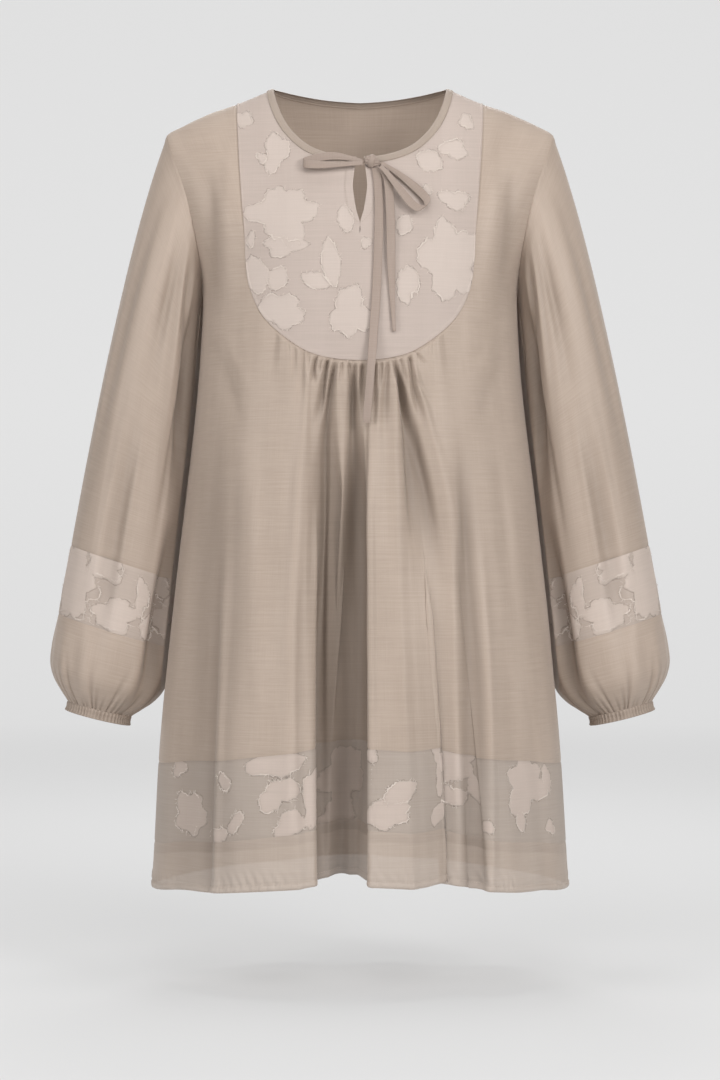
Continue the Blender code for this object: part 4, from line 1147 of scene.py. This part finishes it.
def cuff(word, side):
    """The elastic casing: a ruched tube, pinched along its stitching and turned in at its edge."""
    columns = 560
    profile = [
        (152.0, -0.6),
        (152.6, -0.2),
        (153.4, 0.5),
        (154.6, 1.0),
        (156.2, 1.2),
        (157.8, 1.1),
        (159.2, 0.8),
        (160.4, 0.7),
        (161.4, 0.6),
        (162.0, 0.1),
        (162.1, -0.5),
        (161.6, -1.0),
        (159.0, -1.2),
        (156.0, -1.2),
    ]
    angle = math.pi * (1 - 2 * np.arange(columns + 1) / columns)[None]
    along = np.array([p[0] for p in profile])[:, None]
    bulge = np.array([p[1] for p in profile])[:, None]
    rib = np.cos(angle * 56 + 1.3 * np.sin(angle * 5)) * (0.75 + 0.25 * np.cos(angle * 11))
    out = bulge * MM + 0.62 * MM * rib * np.clip(bulge, 0.25, 1.0)
    spots = mirrored(ring_point(along, angle, out), side)
    uv = np.stack(np.broadcast_arrays(angle * 0.06, -along * MM), axis=-1)
    # Painted shade in the troughs of the ruching
    return grid(f"cuff_{word}_cloth", spots, uv, row_middle(spots), closed=True, shade=np.clip(0.3 - rib, 0, 1) * 0.35)


# The tie


def on_front(x, z, lift):
    across, drop = place_of(x, z)
    return torso(FRONT, across, drop, out=lift)


def strip(name, steps, narrows=0.0, loop=False, waver=0.0):
    """A flat sewn tube of cloth along a line of steps, with a stitched groove beside each edge."""
    rows = 18 * (len(steps) - 1)
    share = np.arange(rows + 1) / rows
    line = along_curve([(step.x, step.z, step.lift) for step in steps], share) * MM
    ahead = np.gradient(line[:, :2], axis=0)
    if loop:
        ahead = np.broadcast_to(line[rows // 2, :2] - line[0, :2], ahead.shape)
    across = unit(np.stack([-ahead[:, 1], ahead[:, 0]], axis=-1))
    pinch = mix(0.5, 1.0, ease(np.minimum(share, 1 - share) / 0.3)) if loop else np.ones(rows + 1)
    pinch = pinch * (1 - narrows * ease((share - 0.55) / 0.45))
    closing = np.ones(rows + 1) if loop else ease((1 - share) * 60 + 0.12)
    profile = [
        (0.5, 0.0),
        (0.49, 0.45),
        (0.44, 0.72),
        (0.37, 0.58),
        (0.30, 0.75),
        (0.1, 0.88),
        (-0.1, 0.88),
        (-0.30, 0.75),
        (-0.37, 0.58),
        (-0.44, 0.72),
        (-0.49, 0.45),
        (-0.5, 0.0),
        (-0.47, -0.6),
        (0.0, -0.78),
        (0.47, -0.6),
        (0.5, 0.0),
    ]
    w = np.array([p[0] for p in profile])[None] * (TIE_WIDTH * pinch)[:, None]
    w = w * mix(0.6, 1.0, closing)[:, None]
    thick = np.array([p[1] for p in profile])[None] * MM * mix(0.3, 1.0, closing)[:, None]
    x = line[:, 0, None] + across[:, 0, None] * w
    z = line[:, 1, None] + across[:, 1, None] * w
    lift = line[:, 2, None] + thick
    lift = lift + waver * MM * np.sin(share * 17)[:, None] * (w / TIE_WIDTH)
    spots = on_front(x, z, lift)
    along = np.concatenate([[0.0], np.cumsum(np.linalg.norm(np.diff(line[:, :2], axis=0), axis=1))])[:, None]
    uv = np.stack(np.broadcast_arrays(w, along), axis=-1)
    middle = spots * 0 + on_front(line[:, 0], line[:, 1], line[:, 2])[:, None]
    return grid(name, spots, uv, middle, shade=0.0)


def knot():
    """The knot: a band drawn tight round pinched cloth, with pleats running into it from both sides."""
    rings, around = 48, 96
    down = (np.arange(rings + 1) / rings)[:, None] * math.pi
    turn = (np.arange(around + 1) / around)[None] * 2 * math.pi
    x, ring = np.cos(down), np.sin(down)
    band = np.exp(-((x / 0.42) ** 4))
    pleats = 0.09 * np.cos(9 * turn + 3 * x) * (1 - band)
    lean = 0.05 * np.cos(4 * turn + 5 * x) * band
    swell = 0.86 + 0.20 * band + pleats + lean
    edge = -0.10 * np.exp(-(((np.abs(x) - 0.46) / 0.08) ** 2))
    size = swell + edge
    spots = np.stack(np.broadcast_arrays(x, ring * np.cos(turn) * size, ring * np.sin(turn) * size), axis=-1)
    centre = on_front(KNOT.x * MM, KNOT.z * MM, KNOT_LIFT)
    slant = math.radians(-16)
    spots = spots * KNOT_SIZE / 2
    tilted = np.stack(
        [
            spots[..., 0] * math.cos(slant) - spots[..., 2] * math.sin(slant),
            spots[..., 1],
            spots[..., 0] * math.sin(slant) + spots[..., 2] * math.cos(slant),
        ],
        axis=-1,
    )
    uv = np.stack(np.broadcast_arrays(turn * 0.004, down * 0.006), axis=-1)
    return grid("tie_knot_cloth", tilted + centre, uv, tilted * 0 + centre, shade=0.0)


# Threads


class Bundle:
    """Many small pieces of thread gathered into one mesh."""

    def __init__(self):
        self.points, self.faces = [], []

    def ribbon(self, path, sideways_by, width):
        """A flat thread along a path, as wide as width, which narrows at its ends."""
        first, count = len(self.points), len(path)
        for n, (spot, way) in enumerate(zip(path, sideways_by)):
            half = way * width / 2 * (1.0 if 0 < n < count - 1 else 0.35)
            self.points += [spot - half, spot + half]
        for n in range(count - 1):
            a = first + 2 * n
            self.faces.append((a, a + 1, a + 3, a + 2))

    def stitch(self, start, end, up, radius):
        """One sewn stitch, a small spindle lying on the cloth."""
        first = len(self.points)
        across = unit(np.cross(end - start, up)) * radius
        middle = (start + end) / 2 + up * radius * 0.9
        self.points += [start, middle - across, middle + up * radius, middle + across, end]
        self.faces += [
            (first, first + 1, first + 2),
            (first, first + 2, first + 3),
            (first + 4, first + 2, first + 1),
            (first + 4, first + 3, first + 2),
        ]

    def line(self, path, ups, pitch=2.6 * MM, radius=0.26 * MM):
        """A row of stitches along a path."""
        length = np.concatenate([[0.0], np.cumsum(np.linalg.norm(np.diff(path, axis=0), axis=1))])
        count = max(int(length[-1] / pitch), 1)
        for n in range(count):
            ends = []
            for at in ((n + 0.10) * pitch, (n + 0.86) * pitch):
                ends.append(np.array([np.interp(at, length, path[:, k]) for k in range(3)]))
            up = np.array([np.interp((n + 0.5) * pitch, length, ups[:, k]) for k in range(3)])
            self.stitch(ends[0], ends[1], unit(up), radius)

    def made(self, name):
        widest = max(len(face) for face in self.faces)
        mesh = bpy.data.meshes.new(name)
        mesh.from_pydata([tuple(p) for p in self.points], [], self.faces)
        mesh.polygons.foreach_set("use_smooth", np.full(len(mesh.polygons), widest == 3))
        mesh.update()
        piece = bpy.data.objects.new(name, mesh)
        bpy.context.scene.collection.objects.link(piece)
        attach(piece, "root")
        return piece


def frays(name, placed, place, allowed, seed):
    """Clipped threads round the motifs: broken raised outlines and short loose ends."""
    rng = np.random.default_rng(seed)
    bundle = Bundle()
    for number, (motif, x, z) in enumerate(placed):
        around = 3.2 * (motif.wide + motif.high)
        for _ in range(max(int(around / 16), 2)):
            start, span = rng.uniform(0, 2 * math.pi), rng.uniform(6, 15) / around * 2 * math.pi
            angle = start + span * np.linspace(0, 1, 9)
            u, v = motif_edge(motif, number, x, z, angle)
            u, v = u + rng.normal(0, 0.35, 9) * MM, v + rng.normal(0, 0.35, 9) * MM
            add_thread(bundle, place, allowed, u, v, rng.uniform(0.6, 1.0), rng.uniform(0.5, 0.9))
        for _ in range(int(around / 2.6)):
            angle = rng.uniform(0, 2 * math.pi)
            u, v = motif_edge(motif, number, x, z, np.array([angle, angle + 0.01]))
            way = math.atan2(v[0] - z, u[0] - x) + rng.normal(0, 0.9)
            long = rng.uniform(1.2, 4.2) * MM
            bend = rng.normal(0, 0.5)
            t = np.linspace(-0.2, 1, 4)
            u = u[0] + long * t * np.cos(way + bend * t)
            v = v[0] + long * t * np.sin(way + bend * t)
            add_thread(bundle, place, allowed, u, v, rng.uniform(0.5, 1.2), rng.uniform(0.28, 0.42))
    return bundle.made(name)


def add_thread(bundle, place, allowed, u, v, lift, width):
    """Lays a thread on the cloth where both its ends are on the piece."""
    low, high = allowed(u)
    if np.any(v < low + 1.5 * MM) or np.any(v > high - 1.5 * MM):
        return
    count = len(u)
    lifts = (0.35 + lift * np.sin(np.linspace(0.2, 2.9, count))) * MM
    path = place(u, v, lifts)
    beside = place(u + np.gradient(v) * 0.5, v - np.gradient(u) * 0.5, lifts)
    bundle.ribbon(path, unit(beside - path), width * MM)


def stitched(name, lines, pitch=2.6 * MM):
    """Rows of stitches along lines, each a path and the directions away from the cloth."""
    bundle = Bundle()
    for path, ups in lines:
        bundle.line(path, ups, pitch)
    sewn = bundle.made(name)
    sewn.data.materials.append(THREAD)
    return sewn


# Materials


def base_material(name, roughness, sheen=0.25, specular=0.3):
    made = bpy.data.materials.new(name)
    made.use_nodes = True
    shader = made.node_tree.nodes["Principled BSDF"]
    shader.inputs["Roughness"].default_value = roughness
    shader.inputs["Sheen Weight"].default_value = sheen
    shader.inputs["Sheen Roughness"].default_value = 0.45
    shader.inputs["Sheen Tint"].default_value = (1.0, 0.93, 0.87, 1.0)
    shader.inputs["Specular IOR Level"].default_value = specular
    return made, made.node_tree.nodes, made.node_tree.links, shader


def coloured(nodes, links, shader, colour, glow=0.22):
    """Colours the cloth with painted shade deep in its folds, as its shade attribute says, and lets a share of the
    light through it.
    """
    shade = nodes.new("ShaderNodeAttribute")
    shade.attribute_name = "shade"
    # Painted shade: the colour darkens towards the fold shade colour where the shade attribute is high
    deep = ranged(nodes, links, shade.outputs["Fac"], 0.0, 1.0, 0.0, 0.62)
    colour = blended(nodes, links, deep, colour, PAINTED_FOLD_SHADE)
    links.new(colour, shader.inputs["Base Color"])
    through = nodes.new("ShaderNodeBsdfTranslucent")
    links.new(colour, through.inputs["Color"])
    both = nodes.new("ShaderNodeMixShader")
    both.inputs["Fac"].default_value = glow
    links.new(shader.outputs["BSDF"], both.inputs[1])
    links.new(through.outputs["BSDF"], both.inputs[2])
    links.new(both.outputs["Shader"], nodes["Material Output"].inputs["Surface"])


def stretched_noise(nodes, links, scale, detail=3.0, roughness=0.6):
    """Noise over the flat cloth, stretched by the two numbers of scale, in repeats a metre."""
    place = nodes.new("ShaderNodeUVMap")
    place.uv_map = "cloth"
    mapping = nodes.new("ShaderNodeMapping")
    mapping.inputs["Scale"].default_value = (scale[0], scale[1], 1.0)
    noise = nodes.new("ShaderNodeTexNoise")
    noise.inputs["Scale"].default_value = 1.0
    noise.inputs["Detail"].default_value = detail
    noise.inputs["Roughness"].default_value = roughness
    links.new(place.outputs["UV"], mapping.inputs["Vector"])
    links.new(mapping.outputs["Vector"], noise.inputs["Vector"])
    return noise.outputs["Fac"]


def ranged(nodes, links, value, low, high, to_low=0.0, to_high=1.0):
    node = nodes.new("ShaderNodeMapRange")
    node.inputs["From Min"].default_value = low
    node.inputs["From Max"].default_value = high
    node.inputs["To Min"].default_value = to_low
    node.inputs["To Max"].default_value = to_high
    links.new(value, node.inputs["Value"])
    return node.outputs["Result"]


def sum_of(nodes, links, *values):
    """The sum of values, each given with its weight."""
    total = None
    for value, weight in values:
        node = nodes.new("ShaderNodeMath")
        node.operation = "MULTIPLY_ADD"
        links.new(value, node.inputs[0])
        node.inputs[1].default_value = weight
        if total is None:
            node.inputs[2].default_value = 0.0
        else:
            links.new(total, node.inputs[2])
        total = node.outputs[0]
    return total


def blended(nodes, links, factor, low, high):
    """A colour between two, each a plain colour or the colour of another node."""
    node = nodes.new("ShaderNodeMix")
    node.data_type = "RGBA"
    links.new(factor, node.inputs["Factor"])
    for socket, colour in ((node.inputs["A"], low), (node.inputs["B"], high)):
        if isinstance(colour, tuple):
            socket.default_value = (*colour, 1.0)
        else:
            links.new(colour, socket)
    return node.outputs["Result"]


def weave(nodes, links, slub=1.0):
    """The woven surface: a tint value round 0.5 and a height, from crosswise slubs and finer threads."""
    slubs = stretched_noise(nodes, links, (14, 760), 3.0, 0.62)
    fine = stretched_noise(nodes, links, (60, 2100), 2.0, 0.5)
    warp = stretched_noise(nodes, links, (1700, 26), 2.0, 0.5)
    cloud = stretched_noise(nodes, links, (16, 5), 3.0, 0.5)
    tint = sum_of(nodes, links, (slubs, 0.38 * slub), (fine, 0.18), (warp, 0.20), (cloud, 0.42))
    height = sum_of(nodes, links, (slubs, 0.35), (fine, 0.4), (warp, 0.4))
    return tint, height


def bumped(nodes, links, shader, height, strength, distance):
    bump = nodes.new("ShaderNodeBump")
    bump.inputs["Strength"].default_value = strength
    bump.inputs["Distance"].default_value = distance
    links.new(height, bump.inputs["Height"])
    links.new(bump.outputs["Normal"], shader.inputs["Normal"])


def plain_cloth(name, dark, light, slub=1.0):
    made, nodes, links, shader = base_material(name, 0.52)
    tint, height = weave(nodes, links, slub)
    colour = blended(nodes, links, ranged(nodes, links, tint, 0.40, 0.80), dark, light)
    coloured(nodes, links, shader, colour)
    bumped(nodes, links, shader, height, 0.5, 0.2 * MM)
    return made


def floral_cloth(name, ground_dark, ground, patch_dark, patch, fringe, seen_through):
    """Sheer ground with denser woven motifs whose clipped edges fray."""
    made, nodes, links, shader = base_material(name, 0.6, 0.2, 0.2)
    tint, height = weave(nodes, links, 1.2)
    even = ranged(nodes, links, tint, 0.40, 0.80)
    motif = nodes.new("ShaderNodeAttribute")
    motif.attribute_name = "motif"
    rough = stretched_noise(nodes, links, (700, 700), 3.0, 0.7)
    coarse = stretched_noise(nodes, links, (170, 170), 2.0, 0.5)
    edge = sum_of(nodes, links, (motif.outputs["Fac"], 1.0), (rough, 2.0), (coarse, 2.6))
    inside = ranged(nodes, links, edge, 2.1, 2.7)
    ground_colour = blended(nodes, links, even, ground_dark, ground)
    patch_colour = blended(nodes, links, even, patch_dark, patch)
    colour = blended(nodes, links, inside, ground_colour, patch_colour)
    rim = nodes.new("ShaderNodeMath")
    rim.operation = "PINGPONG"
    links.new(ranged(nodes, links, edge, 1.5, 3.5, 0.0, 2.0), rim.inputs[0])
    rim.inputs[1].default_value = 1.0
    rim_strength = ranged(nodes, links, rim.outputs[0], 0.45, 1.0, 0.0, 0.38)
    colour = blended(nodes, links, rim_strength, colour, fringe)
    # Painted shadow: a broken dark line just outside each motif's edge, where its raised edge would cast shade
    shadow = nodes.new("ShaderNodeMath")
    shadow.operation = "PINGPONG"
    links.new(ranged(nodes, links, edge, 0.5, 1.9, 0.0, 2.0), shadow.inputs[0])
    shadow.inputs[1].default_value = 1.0
    broken = ranged(nodes, links, stretched_noise(nodes, links, (90, 90), 2.0, 0.5), 0.42, 0.56)
    painted_shadow_line = nodes.new("ShaderNodeMath")
    painted_shadow_line.operation = "MULTIPLY"
    links.new(ranged(nodes, links, shadow.outputs[0], 0.25, 1.0, 0.0, 0.75), painted_shadow_line.inputs[0])
    links.new(broken, painted_shadow_line.inputs[1])
    colour = blended(nodes, links, painted_shadow_line.outputs[0], colour, tuple(c * 0.5 for c in ground_dark))
    coloured(nodes, links, shader, colour)
    alpha = ranged(nodes, links, inside, 0.0, 1.0, 1.0 - seen_through, 1.0)
    links.new(alpha, shader.inputs["Alpha"])
    relief = sum_of(nodes, links, (height, 0.35), (inside, 1.1), (rim_strength, 0.9))
    bumped(nodes, links, shader, relief, 0.75, 0.5 * MM)
    return made


def hem_cloth(name, dark, light, seen_through):
    """Plain hem cloth, fine enough to see through a little."""
    made = plain_cloth(name, dark, light, 1.1)
    shader = made.node_tree.nodes["Principled BSDF"]
    shader.inputs["Alpha"].default_value = 1.0 - seen_through
    return made


def thread_material(name, colour):
    """Sewing and clipped threads, slightly uneven in colour."""
    made, nodes, links, shader = base_material(name, 0.6, 0.3, 0.25)
    place = nodes.new("ShaderNodeTexCoord")
    noise = nodes.new("ShaderNodeTexNoise")
    noise.inputs["Scale"].default_value = 900.0
    links.new(place.outputs["Object"], noise.inputs["Vector"])
    darker = tuple(c * 0.82 for c in colour)
    links.new(blended(nodes, links, noise.outputs["Fac"], darker, colour), shader.inputs["Base Color"])
    bumped(nodes, links, shader, noise.outputs["Fac"], 0.4, 0.1 * MM)
    return made


def stage_material(name, colour, floor_glow, wall_glow):
    """A matt studio surface, evened out by a little light of its own, more of it up the backdrop."""
    made = bpy.data.materials.new(name)
    made.use_nodes = True
    shader = made.node_tree.nodes["Principled BSDF"]
    shader.inputs["Base Color"].default_value = (*colour, 1.0)
    shader.inputs["Roughness"].default_value = 1.0
    shader.inputs["Specular IOR Level"].default_value = 0.0
    shader.inputs["Emission Color"].default_value = (1.0, 1.0, 1.0, 1.0)
    nodes, links = made.node_tree.nodes, made.node_tree.links
    place = nodes.new("ShaderNodeTexCoord")
    parts = nodes.new("ShaderNodeSeparateXYZ")
    links.new(place.outputs["Object"], parts.inputs["Vector"])
    glow = ranged(nodes, links, parts.outputs["Y"], 0.3, 4.2, floor_glow, wall_glow)
    links.new(glow, shader.inputs["Emission Strength"])
    return made


def dress(piece, material, slot, *nodes):
    piece.data.materials.append(material)
    if nodes:
        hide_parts(*nodes)


# The garment

# The colour of the painted shade deep in folds and creases
PAINTED_FOLD_SHADE = (0.105, 0.076, 0.055)
PLAIN = plain_cloth("plain_cloth", (0.364, 0.289, 0.233), (0.492, 0.400, 0.333))
CUFF_CLOTH = plain_cloth("cuff_cloth", (0.310, 0.246, 0.199), (0.405, 0.328, 0.272))
TIE = plain_cloth("tie_cloth", (0.300, 0.234, 0.194), (0.392, 0.310, 0.265))
BINDING = plain_cloth("binding_cloth", (0.335, 0.270, 0.222), (0.415, 0.340, 0.285))
SHEER = hem_cloth("sheer_cloth", (0.40, 0.325, 0.27), (0.49, 0.41, 0.35), 0.10)
YOKE_CLOTH = floral_cloth(
    "floral_yoke", (0.44, 0.367, 0.325), (0.52, 0.44, 0.395), (0.495, 0.42, 0.375), (0.56, 0.48, 0.43), (0.66, 0.58, 0.52), 0.05
)
BAND_CLOTH = floral_cloth(
    "floral_band", (0.385, 0.326, 0.280), (0.470, 0.400, 0.348), (0.46, 0.384, 0.336), (0.545, 0.458, 0.405), (0.60, 0.52, 0.465), 0.15
)
SLEEVE_BAND_CLOTH = floral_cloth(
    "floral_sleeve", (0.435, 0.363, 0.313), (0.515, 0.432, 0.377), (0.50, 0.420, 0.367), (0.58, 0.492, 0.435), (0.66, 0.57, 0.51), 0.07
)
THREAD = thread_material("sewing_thread", (0.42, 0.345, 0.285))
FRAY = thread_material("clipped_thread", (0.63, 0.55, 0.49))


def make_body():
    yoke_edge, panel_edge = Seam(FRONT, YOKE_SEAM), Seam(FRONT, YOKE_SEAM, -0.6 * MM)
    necks = {
        side: (Seam(side, rows), Seam(side, rows, BINDING_WIDTH))
        for side, rows in ((FRONT, NECKLINE_FRONT), (BACK, NECKLINE_BACK))
    }
    under = {side: Seam(side, rows, BINDING_WIDTH * 0.8) for side, rows in ((FRONT, NECKLINE_FRONT), (BACK, NECKLINE_BACK))}
    front = torso_panel("front_body_cloth", FRONT, panel_edge, FRONT_FAN, 180, 1.35)
    dress(front, PLAIN, "plain_cloth", "front_body")
    back = torso_panel("back_body_cloth", BACK, under[BACK], BACK_FAN, 150, 1.1)
    dress(back, PLAIN, "plain_cloth", "back_body")
    yoke_piece, yoke_motifs = yoke(under[FRONT], yoke_edge)
    dress(yoke_piece, YOKE_CLOTH, "floral_cloth", "yoke")
    binding, strip_spots = neck_binding(necks[FRONT], necks[BACK])
    dress(binding, BINDING, "plain_cloth", "neck_binding")

    def within_yoke(u):
        low = np.interp(np.abs(u), [0, 27 * MM, 52 * MM, 78 * MM, 96 * MM, 107 * MM, 112 * MM, 113 * MM],
                        [-0.2755, -0.2735, -0.266, -0.248, -0.228, -0.203, -0.16, 0.1])
        high = np.interp(np.abs(u), [0, 22 * MM, 40 * MM, 54 * MM, 67 * MM, 76 * MM, 90 * MM, 94 * MM],
                         [-0.086, -0.083, -0.078, -0.07, -0.057, -0.042, -0.02, -0.004])
        return low, np.minimum(high, ridge(u) - 5 * MM)

    fray = frays("yoke_clipped_threads", yoke_motifs, on_yoke, within_yoke, 11)
    fray.data.materials.append(FRAY)
    up = facing_of(strip_spots, strip_spots * 0 + strip_spots[4:5].mean(axis=1, keepdims=True))
    sewn = stitched("neck_binding_stitches", [(strip_spots[3], up[3])], 2.4 * MM)
    height = np.linspace(-84 * MM, SLIT_TIP, 40)
    facing_lines = []
    for side in (LEFT, RIGHT):
        path = on_yoke(side * (slit_shift(height, 0.0) + 8.0 * MM * ease((height - SLIT_TIP + 4 * MM) / (16 * MM))), height, 0.0007)
        facing_lines.append((path, np.broadcast_to(np.array([0.0, -1.0, 0.1]), path.shape)))
    facing_sewn = stitched("keyhole_stitches", facing_lines, 2.4 * MM)
    return front, back, yoke_piece, binding


def make_hem():
    made = {}
    for word, side, fan, motifs, seed in (
        ("front", FRONT, FRONT_FAN, HEM_MOTIFS_FRONT, 21),
        ("back", BACK, BACK_FAN, HEM_MOTIFS_BACK, 22),
    ):
        band, placed, place, allowed, _ = hem_piece(
            f"hem_band_{word}_cloth", side, fan, BAND_TOP, BAND_BOTTOM, 40, motifs
        )
        dress(band, BAND_CLOTH, "floral_cloth", f"hem_band_{word}")
        fray = frays(f"hem_{word}_clipped_threads", placed, place, allowed, seed)
        fray.data.materials.append(FRAY)
        edge, _, _, _, spots = hem_piece(f"hem_edge_{word}_cloth", side, fan, BAND_BOTTOM, HEM_EDGE, 44, last=True)
        dress(edge, SHEER, "sheer_cloth", f"hem_edge_{word}")
        out = facing_of(spots, axis_of(spots))
        sewn = stitched(f"hem_{word}_stitches", [(spots[-6] + out[-6] * 0.3 * MM, out[-6])])
        made[word] = (band, edge)
    return made


def make_sleeves():
    made = {}
    for word, side in (("left", LEFT), ("right", RIGHT)):
        upper, _ = upper_sleeve(word, side)
        dress(upper, PLAIN, "plain_cloth", f"sleeve_{word}")
        band, placed, place, allowed = sleeve_band(word, side)
        dress(band, SLEEVE_BAND_CLOTH, "floral_cloth", f"sleeve_band_{word}")
        fray = frays(f"sleeve_{word}_clipped_threads", placed, place, allowed, 31)
        fray.data.materials.append(FRAY)
        puff = sleeve_puff(word, side)
        dress(puff, PLAIN, "plain_cloth", f"sleeve_puff_{word}")
        casing = cuff(word, side)
        dress(casing, CUFF_CLOTH, "plain_cloth", f"cuff_{word}")
        made[word] = (upper, band, puff, casing)
    return made


def make_tie():
    pieces = {
        "tie_loop_left": strip("tie_loop_left_cloth", LOOP_LEFT, loop=True),
        "tie_loop_right": strip("tie_loop_right_cloth", LOOP_RIGHT, loop=True),
        "tie_end_long": strip("tie_end_long_cloth", LONG_END, narrows=0.1, waver=0.5),
        "tie_end_short": strip("tie_end_short_cloth", SHORT_END, narrows=0.6, waver=1.2),
        "tie_knot": knot(),
    }
    for node, piece in pieces.items():
        dress(piece, TIE, "plain_cloth", node)
    return pieces


def make_stage():
    """A floor that curves up into a backdrop, lights and a camera level with the garment's middle."""
    floor, back, bend = -0.89, 5.2, 0.8
    profile = [(-5.0, floor), (back - bend, floor)]
    for n in range(1, 13):
        angle = n / 12 * math.pi / 2
        profile.append((back - bend + bend * math.sin(angle), floor + bend * (1 - math.cos(angle))))
    profile.append((back, 4.5))
    points = [(x, y, z) for y, z in profile for x in (-5.0, 5.0)]
    faces = [(2 * n, 2 * n + 1, 2 * n + 3, 2 * n + 2) for n in range(len(profile) - 1)]
    mesh = bpy.data.meshes.new("studio_floor")
    mesh.from_pydata(points, [], faces)
    mesh.polygons.foreach_set("use_smooth", [True] * len(faces))
    mesh.materials.append(stage_material("studio_paint", (0.34, 0.34, 0.34), 0.350, 0.535))
    stage = bpy.data.objects.new("studio_floor", mesh)
    bpy.context.scene.collection.objects.link(stage)

    world = bpy.data.worlds.new("studio")
    bpy.context.scene.world = world
    world.use_nodes = True
    world.node_tree.nodes["Background"].inputs["Color"].default_value = (1.0, 1.0, 1.0, 1.0)
    world.node_tree.nodes["Background"].inputs["Strength"].default_value = 0.30

    for name, place, size, energy in (
        ("key", (1.9, -2.6, 0.5), 1.3, 66.0),
        ("fill", (-2.3, -2.2, 0.3), 1.5, 42.0),
        ("front", (0.0, -2.6, 1.1), 1.4, 28.0),
        ("top", (0.0, 0.1, 2.3), 1.6, 27.0),
        ("rear", (0.0, 1.7, 1.1), 1.2, 17.0),
    ):
        data = bpy.data.lights.new(name, "AREA")
        data.shape, data.size, data.energy = "DISK", size, energy
        lamp = bpy.data.objects.new(name, data)
        lamp.location = place
        lamp.rotation_euler = (Vector((0.0, 0.0, -0.4)) - Vector(place)).to_track_quat("-Z", "Y").to_euler()
        bpy.context.scene.collection.objects.link(lamp)

    lens = bpy.data.cameras.new("camera")
    lens.lens, lens.sensor_width = 100.0, 36.0
    camera = bpy.data.objects.new("camera", lens)
    camera.location = (0.0, -3.0, -0.45)
    camera.rotation_euler = (math.pi / 2, 0.0, 0.0)
    bpy.context.scene.collection.objects.link(camera)
    bpy.context.scene.camera = camera
    bpy.context.scene.view_settings.view_transform = "Standard"


make_stage()
make_body()
make_hem()
make_sleeves()
make_tie()
